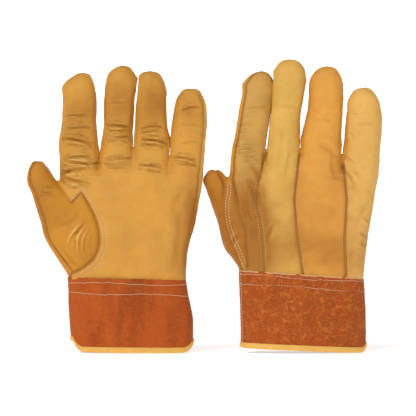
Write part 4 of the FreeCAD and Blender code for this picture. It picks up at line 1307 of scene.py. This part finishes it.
class Recipe:
    """A material's nodes, built one at a time."""

    def __init__(self, name):
        self.material = bpy.data.materials.new(name)
        self.material.use_nodes = True
        self.nodes, self.links = self.material.node_tree.nodes, self.material.node_tree.links
        self.shader = self.nodes["Principled BSDF"]

    def add(self, kind, **values):
        """A node with its inputs set: a value, or an output socket to link."""
        node = self.nodes.new(kind)
        for key, value in values.items():
            if hasattr(node, key):
                setattr(node, key, value)
            else:
                self.set(node, key, value)
        return node

    def set(self, node, key, value):
        key = key.replace("_", " ")
        socket = node.inputs[key]
        if isinstance(value, bpy.types.NodeSocket):
            self.links.new(value, socket)
        else:
            socket.default_value = value

    def place(self, stretch=(1, 1, 1)):
        """Each spot's place at rest, so that a pattern stays on the leather as it bends."""
        rest = self.add("ShaderNodeAttribute", attribute_name="rest_place")
        scale = self.add("ShaderNodeMapping", Vector=rest.outputs["Vector"])
        scale.inputs["Scale"].default_value = stretch
        return scale.outputs["Vector"]

    def noise(self, size_mm, detail=3.0, stretch=(1, 1, 1), **values):
        place = self.place(stretch)
        node = self.add("ShaderNodeTexNoise", Vector=place, Scale=1000 / size_mm, Detail=detail, **values)
        return node.outputs["Fac"]

    def between(self, value, low, high):
        """Maps low..high to 0..1, smoothly."""
        node = self.add("ShaderNodeMapRange", Value=value)
        node.interpolation_type = "SMOOTHSTEP"
        node.inputs["From Min"].default_value, node.inputs["From Max"].default_value = low, high
        return node.outputs["Result"]

    def math(self, operation, first, second):
        node = self.nodes.new("ShaderNodeMath")
        node.operation = operation
        for socket, value in zip(node.inputs, (first, second)):
            if isinstance(value, bpy.types.NodeSocket):
                self.links.new(value, socket)
            else:
                socket.default_value = value
        return node.outputs["Value"]

    def mix(self, share, first, second):
        node = self.nodes.new("ShaderNodeMix")
        node.data_type = "RGBA"
        for key, value in (("Factor_Float", share), ("A_Color", first), ("B_Color", second)):
            socket = next(s for s in node.inputs if s.identifier == key)
            if isinstance(value, bpy.types.NodeSocket):
                self.links.new(value, socket)
            else:
                socket.default_value = value if key == "Factor_Float" else (*value[:3], 1.0)
        return next(s for s in node.outputs if s.identifier == "Result_Color")

    def bump(self, height, distance_mm, strength=1.0, normal=None):
        node = self.add("ShaderNodeBump", Height=height, Distance=distance_mm * MM, Strength=strength)
        if normal is not None:
            self.links.new(normal, node.inputs["Normal"])
        return node.outputs["Normal"]

    def finish(self, colour, rough, normal, **constants):
        self.set(self.shader, "Base Color", colour)
        self.set(self.shader, "Roughness", rough)
        self.set(self.shader, "Normal", normal)
        for key, value in constants.items():
            self.shader.inputs[key.replace("_", " ")].default_value = value
        return self.material


def shade(colour, factor):
    return tuple(c * factor for c in colour[:3])


PEBBLE = 1.1             # size of the leather's grain, in millimetres


def grain_leather(name, colour):
    """Smooth yellow leather: a fine pebbled grain, faint pores, mottled dye, darker patches of dye and
    painted shade, painted shade in creases and beside seams, and painted highlights on crease ridges.
    """
    settings = bpy.context.scene.glove_leather
    recipe = Recipe(name)
    clouds = recipe.between(recipe.noise(30, 3), 0.35, 0.7)
    blotches = recipe.between(recipe.noise(9, 4, Roughness=0.6), 0.42, 0.72)
    body = recipe.mix(recipe.math("MULTIPLY", clouds, 0.55), colour, shade(colour, 0.80))
    orange = (colour[0] * 0.93, colour[1] * 0.72, colour[2] * 0.5)
    body = recipe.mix(recipe.math("MULTIPLY", blotches, 0.28), body, orange)
    # painted shade in creases and beside seams, with darker dye patches and stain mottles, mixed towards the
    # stain-and-shade colour
    tone = recipe.add("ShaderNodeAttribute", attribute_name="tone").outputs["Fac"]
    shade_and_stain_share = recipe.math("MULTIPLY", recipe.between(tone, 0.0, 0.9), 0.85)
    body = recipe.mix(shade_and_stain_share, body, settings.stain_and_shade)
    # painted highlight: the raised banks of narrow creases mixed towards a lighter colour
    painted_highlight = recipe.between(recipe.math("MULTIPLY", tone, -1.0), 0.0, 0.4)
    body = recipe.mix(recipe.math("MULTIPLY", painted_highlight, 0.6), body, (0.84, 0.52, 0.16))
    # fine wrinkle lines near creases: a bump, and painted shade that darkens them
    crinkle = recipe.add("ShaderNodeAttribute", attribute_name="crinkle").outputs["Fac"]
    lines = recipe.between(recipe.noise(2.2, 3, (0.16, 0.5, 1.0), Distortion=0.6), 0.40, 0.60)
    lines = recipe.math("MULTIPLY", lines, recipe.between(crinkle, 0.02, 0.6))
    body = recipe.mix(recipe.math("MULTIPLY", lines, 0.14), body, settings.stain_and_shade)
    cells = recipe.add("ShaderNodeTexVoronoi", Vector=recipe.place(), Scale=1000 / PEBBLE,
                       feature="DISTANCE_TO_EDGE")
    pebbles = recipe.between(cells.outputs["Distance"], 0.0, 0.28)
    pores = recipe.between(recipe.noise(0.7, 2), 0.30, 0.42)
    pores = recipe.math("SUBTRACT", 1.0, pores)
    body = recipe.mix(recipe.math("MULTIPLY", pores, 0.14), body, settings.stain_and_shade)
    normal = recipe.bump(recipe.noise(14, 5, Roughness=0.62), 1.0, 0.55)
    normal = recipe.bump(recipe.noise(3.2, 4, Roughness=0.6), 0.22, 0.55, normal)
    normal = recipe.bump(recipe.math("SUBTRACT", 1.0, lines), 0.9, 1.0, normal)
    normal = recipe.bump(pebbles, 0.07, 0.6, normal)
    rough = recipe.math("ADD", recipe.math("MULTIPLY", blotches, 0.10), 0.47)
    return recipe.finish(body, rough, normal, Specular_IOR_Level=0.24)


MADE = {}


def made_once(name, maker, *values):
    if name not in MADE:
        MADE[name] = maker(name, *values)
    return MADE[name]


def leather(kind):
    settings = bpy.context.scene.glove_leather
    return made_once(f"{kind}_leather", grain_leather, tuple(getattr(settings, f"{kind}_colour")))


def make_flesh(name):
    """The soft, fibrous inner side and cut edges of the yellow leather."""
    colour = tuple(bpy.context.scene.glove_leather.flesh_side)
    recipe = Recipe(name)
    fibres = recipe.noise(1.2, 5, (1, 1, 0.35), Roughness=0.7)
    body = recipe.mix(recipe.between(fibres, 0.35, 0.7), colour, shade(colour, 0.72))
    normal = recipe.bump(fibres, 0.25, 0.7)
    rough = recipe.math("ADD", recipe.math("MULTIPLY", fibres, 0.1), 0.85)
    return recipe.finish(body, rough, normal, Specular_IOR_Level=0.15, Sheen_Weight=0.2,
                         Sheen_Roughness=0.5)


def flesh_material():
    return made_once("flesh_side", make_flesh)


def make_split(name, nap):
    """Rust split leather: a short suede nap, brushed patches, and dark smudges that run down the cuff."""
    settings = bpy.context.scene.glove_cuff
    rust, dark = shade(tuple(settings.rust), 1 + 0.16 * nap), tuple(settings.rust_dark)
    recipe = Recipe(name)
    smudges = recipe.between(recipe.noise(24, 2, (1.4, 1.4, 0.3), Distortion=0.3), 0.40, 0.70)
    brushed = recipe.between(recipe.noise(6.5, 5, (1, 1, 1.15), Roughness=0.7, Distortion=1.6), 0.42, 0.60)
    curls = recipe.between(recipe.noise(2.6, 3, (1, 1, 0.8), Roughness=0.6, Distortion=2.4), 0.46, 0.60)
    fibres = recipe.noise(0.9, 4, (1, 1, 0.6), Roughness=0.75)
    body = recipe.mix(recipe.math("MULTIPLY", smudges, 0.6 - 0.35 * nap), rust, dark)
    lighter = (rust[0] * 1.35, rust[1] * 2.0, rust[2] * 2.2)
    body = recipe.mix(recipe.math("MULTIPLY", brushed, 0.12 + 0.52 * nap), body, lighter)
    body = recipe.mix(recipe.math("MULTIPLY", curls, 0.28 * nap), body, dark)
    dusty = recipe.math("MULTIPLY", recipe.between(fibres, 0.45, 0.75), 0.18 * nap)
    body = recipe.mix(dusty, body, dark)
    normal = recipe.bump(recipe.noise(9.0, 4, Roughness=0.6), 0.9, 0.5)
    normal = recipe.bump(brushed, 0.5, 0.8 * nap, normal)
    normal = recipe.bump(curls, 0.35, 0.8 * nap, normal)
    normal = recipe.bump(fibres, 0.30, 0.65 * nap, normal)
    rough = recipe.math("ADD", recipe.math("MULTIPLY", fibres, 0.08), 0.86)
    return recipe.finish(body, rough, normal, Specular_IOR_Level=0.16, Sheen_Weight=0.15,
                         Sheen_Roughness=0.55, Sheen_Tint=(1.0, 0.55, 0.28, 1.0))


def make_raw_edge(name):
    """The pale, cut edge and inner side of the split leather."""
    colour = tuple(bpy.context.scene.glove_cuff.raw_edge)
    recipe = Recipe(name)
    fibres = recipe.noise(1.0, 5, (1, 1, 0.5), Roughness=0.7)
    body = recipe.mix(recipe.between(fibres, 0.35, 0.7), colour, shade(colour, 0.66))
    normal = recipe.bump(fibres, 0.3, 0.8)
    rough = recipe.math("ADD", recipe.math("MULTIPLY", fibres, 0.06), 0.88)
    return recipe.finish(body, rough, normal, Specular_IOR_Level=0.15)


def make_thread(name, colour):
    """Twisted polyester thread."""
    recipe = Recipe(name)
    twist = recipe.add("ShaderNodeTexWave", Vector=recipe.place((1, 1, 1)), Scale=900.0, Distortion=2.0)
    body = recipe.mix(recipe.math("MULTIPLY", twist.outputs["Fac"], 0.35), colour, shade(colour, 0.7))
    normal = recipe.bump(twist.outputs["Fac"], 0.12, 0.6)
    rough = recipe.math("ADD", recipe.math("MULTIPLY", recipe.noise(2.0), 0.1), 0.5)
    return recipe.finish(body, rough, normal, Specular_IOR_Level=0.3, Sheen_Weight=0.15,
                         Sheen_Roughness=0.4)


# ------------------------------------------------------------------ one operator for each group of pieces

THREAD_SEED = 5
SEAM_STEP = 0.8          # spacing of the points that stitches and welts follow
CUFF_STITCH_GAP = 0.45   # gap between two stitches where the cuff joins the hand


class GLOVES_OT_palms(bpy.types.Operator):
    """Cut the two palm leathers from the skins."""

    bl_idname = "gloves.palms"
    bl_label = "Palm leather"

    def execute(self, context):
        for spec in GLOVES:
            side = spec["name"]
            piece = leather_panel(spec, f"{side}_palm_leather", [PALM], leather("palm"))
            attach(piece, f"{side}_hand")
            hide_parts(f"{side}_palm")
        return {"FINISHED"}


class GLOVES_OT_fingers(bpy.types.Operator):
    """Cut each finger's palm side, back strip and sidewalls."""

    bl_idname = "gloves.fingers"
    bl_label = "Finger leather"

    def execute(self, context):
        for spec in GLOVES:
            side = spec["name"]
            for k, finger in enumerate(FINGERS):
                stem = f"{side}_{finger}"
                front = leather_panel(spec, f"{stem}_palm_side_leather", [FRONTS + k], leather("palm"))
                back = leather_panel(spec, f"{stem}_back_leather", [BACKS + k], leather(finger))
                walls = leather_panel(spec, f"{stem}_sidewall_leather", [WALLS + k], leather("palm"))
                for piece in (front, back, walls):
                    bend_finger(piece)
                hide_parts(f"{stem}_palm_side")
                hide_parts(f"{stem}_back_strip", f"{stem}_back")
                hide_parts(f"{stem}_sidewalls")
        return {"FINISHED"}


class GLOVES_OT_thumbs(bpy.types.Operator):
    """Cut the thumbs, with the ball of the thumb in one piece with the thumb's palm side."""

    bl_idname = "gloves.thumbs"
    bl_label = "Thumb leather"

    def execute(self, context):
        for spec in GLOVES:
            side = spec["name"]
            front = leather_panel(spec, f"{side}_thumb_palm_side_leather", [THUMB_FRONT], leather("thumb"))
            back = leather_panel(spec, f"{side}_thumb_back_leather", [THUMB_BACK], leather("thumb"))
            for piece in (front, back):
                bend_thumb(piece, side)
            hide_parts(f"{side}_thumb_root", f"{side}_thumb_palm_side")
            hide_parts(f"{side}_thumb_back")
        return {"FINISHED"}


class GLOVES_OT_welts(bpy.types.Operator):
    """Sew the folded welts into the seams on the back of the hands."""

    bl_idname = "gloves.welts"
    bl_label = "Seam welts"

    def execute(self, context):
        for spec in GLOVES:
            side, skin, bundle = spec["name"], skin_of(spec), Bundle()
            foot, top = spec["cuff_top"][0] - 4, -1.5
            for seam in (*spec["back_seams"], spec["wrap_seam"]):
                path = spaced(rounded(seam), SEAM_STEP * 2)
                path = path[(path[:, 1] > foot) & (path[:, 1] < seam[-1][1] + top)]
                spots, normals = on_skin(skin, path, -1)
                slim = seam is spec["wrap_seam"]
                add_ridge(bundle, spots, normals, 0.7 if slim else 0.75, 0.9 if slim else 0.55)
            piece = bundle.piece(spec, f"{side}_back_seam_welt_strips", (leather("welt"),))
            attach(piece, f"{side}_hand")
            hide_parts(f"{side}_back_seam_welts")
        return {"FINISHED"}


class GLOVES_OT_back_stitches(bpy.types.Operator):
    """Stitch along both sides of the seams on the back of the hands."""

    bl_idname = "gloves.back_stitches"
    bl_label = "Back stitching"

    def execute(self, context):
        settings = context.scene.glove_stitches
        for spec in GLOVES:
            side, skin, bundle = spec["name"], skin_of(spec), Bundle()
            rng = np.random.default_rng(THREAD_SEED)
            for seam in spec["back_seams"]:
                path = spaced(rounded(seam), SEAM_STEP)
                path = path[(path[:, 1] > spec["cuff_top"][0] - 1) & (path[:, 1] < seam[-1][1] - 5)]
                for offset in (-1.8, 1.9):
                    spots, normals = on_skin(skin, beside(path, offset), -1)
                    add_stitches(bundle, spots, normals, settings, rng, lift=-0.05)
            thread = made_once("yellow_thread", make_thread, tuple(settings.yellow))
            piece = bundle.piece(spec, f"{side}_back_seam_stitches", (thread,))
            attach(piece, f"{side}_hand")
            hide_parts(f"{side}_back_seam_threads")
        return {"FINISHED"}


class GLOVES_OT_thumb_stitches(bpy.types.Operator):
    """Stitch the double rows beside the thumb seam, on the palm and on the back."""

    bl_idname = "gloves.thumb_stitches"
    bl_label = "Thumb stitching"

    def execute(self, context):
        settings = context.scene.glove_stitches
        for spec in GLOVES:
            side, skin, bundle = spec["name"], skin_of(spec), Bundle()
            rng = np.random.default_rng(THREAD_SEED + 1)
            foot = spec["cuff_top"][0] + 1
            seam = spaced([spec["leg_end"], *rounded(spec["thumb_seam"]).tolist()], SEAM_STEP)
            run = np.arange(len(seam)) * SEAM_STEP
            for near, far in ((1.5, 2.9), (3.1, 6.7)):
                offset = near + (far - near) * smooth_step(run, 16, 52)
                path = beside(seam, -offset)
                path = path[path[:, 1] > foot]
                spots, normals = on_skin(skin, path, 1)
                add_stitches(bundle, spots, normals, settings, rng)
            back = spaced(rounded(spec["thumb_back_seam"]), SEAM_STEP)
            for offset in (2.6, 5.5):
                path = beside(back, offset)
                path = path[(path[:, 1] > foot) & (path[:, 1] < spec["thumb_crotch"][1] - 1)]
                spots, normals = on_skin(skin, path, -1)
                add_stitches(bundle, spots, normals, settings, rng)
            thread = made_once("pale_thread", make_thread, tuple(settings.pale))
            piece = bundle.piece(spec, f"{side}_thumb_seam_stitches", (thread,))
            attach(piece, f"{side}_hand")
            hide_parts(f"{side}_thumb_seam_threads")
        return {"FINISHED"}


def little_seam(spec):
    """How far round the cuff the seam at the little finger's edge lies."""
    return cuff_length(spec) / 2


class GLOVES_OT_cuffs(bpy.types.Operator):
    """Cut the safety cuffs: a palm leather that wraps round the thumb edge, and a back leather."""

    bl_idname = "gloves.cuffs"
    bl_label = "Safety cuffs"

    def execute(self, context):
        settings = context.scene.glove_cuff
        raw = made_once("raw_cuff_edge", make_raw_edge)
        smooth = made_once("split_leather_palm", make_split, 0.15)
        napped = made_once("split_leather_back", make_split, 1.0)
        for spec in GLOVES:
            side = spec["name"]
            wrap, seam, whole = settings.wrap, little_seam(spec), cuff_length(spec)
            palm = cuff_panel(spec, f"{side}_cuff_palm_leather", -wrap, seam - 0.2, (smooth, raw), 0.35)
            stop = whole - wrap - 0.4
            back = cuff_panel(spec, f"{side}_cuff_back_leather", seam + 0.2, stop, (napped, raw), 0.0)
            for piece, node in ((palm, "cuff_palm_side"), (back, "cuff_back")):
                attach(piece, f"{side}_hand")
                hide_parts(f"{side}_{node}")
        return {"FINISHED"}


class GLOVES_OT_bindings(bpy.types.Operator):
    """Fold the yellow binding round the hems."""

    bl_idname = "gloves.bindings"
    bl_label = "Hem binding"

    def execute(self, context):
        for spec in GLOVES:
            side = spec["name"]
            piece = hem_binding(spec, f"{side}_cuff_hem_binding", leather("binding"))
            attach(piece, f"{side}_hand")
            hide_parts(f"{side}_cuff_binding")
        return {"FINISHED"}


class GLOVES_OT_cuff_stitches(bpy.types.Operator):
    """Stitch the cuffs to the hands and close their side seams."""

    bl_idname = "gloves.cuff_stitches"
    bl_label = "Cuff stitching"

    def execute(self, context):
        settings = context.scene.glove_stitches
        for spec in GLOVES:
            side, bundle, whole = spec["name"], Bundle(), cuff_length(spec)
            rng = np.random.default_rng(THREAD_SEED + 2)
            around = np.arange(0, whole, SEAM_STEP)
            _, top = cuff_limits(spec, around)
            for drop in spec["cuff_rows"]:
                sag = 0.7 * np.sin(around / whole * 2 * math.pi * 3 + drop)
                spots, normals = cuff_spots(spec, around, top - drop + sag, 0.35)
                worn = smooth_step(around, whole / 2, whole / 2 + 6)
                worn = worn * (0.35 + 0.5 * wander(spots, 18.0, drop))
                sunk = spots - normals * worn[:, None]
                add_stitches(bundle, sunk, normals, settings, rng, gap=CUFF_STITCH_GAP)
            for place in (1.6, little_seam(spec) - 1.8, whole - 7.5):
                upper = np.interp(place, around, top) - spec["cuff_rows"][0] + 2
                lower = upper - spec["cuff_rows"][1] + 1 if place < 10 else 9.0
                climb = np.arange(lower, upper, SEAM_STEP)
                spots, normals = cuff_spots(spec, np.full(len(climb), place), climb, 0.35)
                add_stitches(bundle, spots, normals, settings, rng)
            thread = made_once("pale_thread", make_thread, tuple(settings.pale))
            piece = bundle.piece(spec, f"{side}_cuff_stitches", (thread,))
            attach(piece, f"{side}_hand")
            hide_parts(f"{side}_cuff_threads")
        return {"FINISHED"}


def backdrop_mesh(width, near, far, height, radius=0.9, turns=24):
    """A floor that curves up into a wall behind the gloves."""
    profile = [(near, 0.0), (far - radius, 0.0)]
    for k in range(1, turns + 1):
        angle = math.pi / 2 * k / turns
        profile.append((far - radius + radius * math.sin(angle), radius - radius * math.cos(angle)))
    profile.append((far, height))
    spots = [(x, y, z) for y, z in profile for x in (-width / 2, width / 2)]
    faces = [(2 * k, 2 * k + 1, 2 * k + 3, 2 * k + 2) for k in range(len(profile) - 1)]
    mesh = bpy.data.meshes.new("studio_floor")
    mesh.from_pydata(spots, [], faces)
    mesh.polygons.foreach_set("use_smooth", np.ones(len(faces), bool))
    return mesh


def hang_light(name, light, place, aim):
    lamp = bpy.data.objects.new(name, light)
    lamp.location = place
    lamp.rotation_mode = "QUATERNION"
    lamp.rotation_quaternion = (Vector(aim) - Vector(place)).to_track_quat("-Z", "Y")
    bpy.context.scene.collection.objects.link(lamp)


def soft_light(name, place, aim, size, power):
    light = bpy.data.lights.new(name, "AREA")
    light.shape, light.size, light.energy = "DISK", size, power
    hang_light(name, light, place, aim)


class GLOVES_OT_studio(bpy.types.Operator):
    """Set up the pale floor, the soft lights and the camera."""

    bl_idname = "gloves.studio"
    bl_label = "Studio"

    def execute(self, context):
        scene, settings = context.scene, context.scene.glove_studio
        low, high = CAD_BOX
        middle = (low + high) / 2
        mesh = backdrop_mesh(settings.floor_size, -settings.floor_size / 2, 10.0, 6.0)
        paper = bpy.data.materials.new("white_paper")
        paper.use_nodes = True
        shader = paper.node_tree.nodes["Principled BSDF"]
        shader.inputs["Base Color"].default_value = (0.93, 0.93, 0.93, 1)
        shader.inputs["Roughness"].default_value = 0.9
        shader.inputs["Specular IOR Level"].default_value = 0.1
        shader.inputs["Emission Color"].default_value = (1, 1, 1, 1)
        shader.inputs["Emission Strength"].default_value = 0.5
        mesh.materials.append(paper)
        floor = bpy.data.objects.new("studio_floor", mesh)
        scene.collection.objects.link(floor)
        world = bpy.data.worlds.new("studio_light")
        world.use_nodes = True
        nodes = world.node_tree.nodes
        sky = nodes.get("Background") or nodes.new("ShaderNodeBackground")
        sky.inputs["Color"].default_value = (1.0, 1.0, 1.0, 1)
        sky.inputs["Strength"].default_value = 0.24
        scene.world = world
        aim = (middle.x, middle.y, middle.z)
        key = bpy.data.lights.new("key_light", "SUN")
        key.energy, key.angle = 1.75, 0.8
        hang_light("key_light", key, (-0.9, -1.5, 1.6), aim)
        soft_light("fill_light", (1.2, -1.6, 0.5), aim, 1.4, 5)
        soft_light("back_light", (0.9, 1.8, 1.4), aim, 1.4, 6)
        lens = bpy.data.cameras.new("camera")
        lens.sensor_width = 36.0
        lens.lens = lens.sensor_width * settings.view_distance / settings.view_width
        camera = bpy.data.objects.new("camera", lens)
        camera.location = (0.0041, -settings.view_distance, 0.1312)
        camera.rotation_euler = (math.pi / 2, 0, 0)
        scene.collection.objects.link(camera)
        scene.camera = camera
        scene.view_settings.view_transform = "Standard"
        return {"FINISHED"}


OPERATORS = (
    GLOVES_OT_palms, GLOVES_OT_fingers, GLOVES_OT_thumbs, GLOVES_OT_welts, GLOVES_OT_back_stitches,
    GLOVES_OT_thumb_stitches, GLOVES_OT_cuffs, GLOVES_OT_bindings, GLOVES_OT_cuff_stitches,
    GLOVES_OT_studio,
)


class GLOVES_PT_panel(bpy.types.Panel):
    """The gloves' pieces, in the order that they are made."""

    bl_label = "Leather protector gloves"
    bl_idname = "GLOVES_PT_panel"
    bl_space_type = "VIEW_3D"
    bl_region_type = "UI"
    bl_category = "Gloves"

    def draw(self, context):
        for operator in OPERATORS:
            self.layout.operator(operator.bl_idname)


SETTINGS = {"glove_leather": LeatherSettings, "glove_stitches": StitchSettings, "glove_cuff": CuffSettings,
            "glove_studio": StageSettings}


def register():
    for name, group in SETTINGS.items():
        bpy.utils.register_class(group)
        setattr(bpy.types.Scene, name, PointerProperty(type=group))
    for kind in (*OPERATORS, GLOVES_PT_panel):
        bpy.utils.register_class(kind)


def unregister():
    for kind in reversed((*OPERATORS, GLOVES_PT_panel)):
        bpy.utils.unregister_class(kind)
    for name, group in SETTINGS.items():
        delattr(bpy.types.Scene, name)
        bpy.utils.unregister_class(group)


def main():
    register()
    for operator in OPERATORS:
        getattr(bpy.ops.gloves, operator.bl_idname.split(".")[1])()


if __name__ == "__main__":
    main()
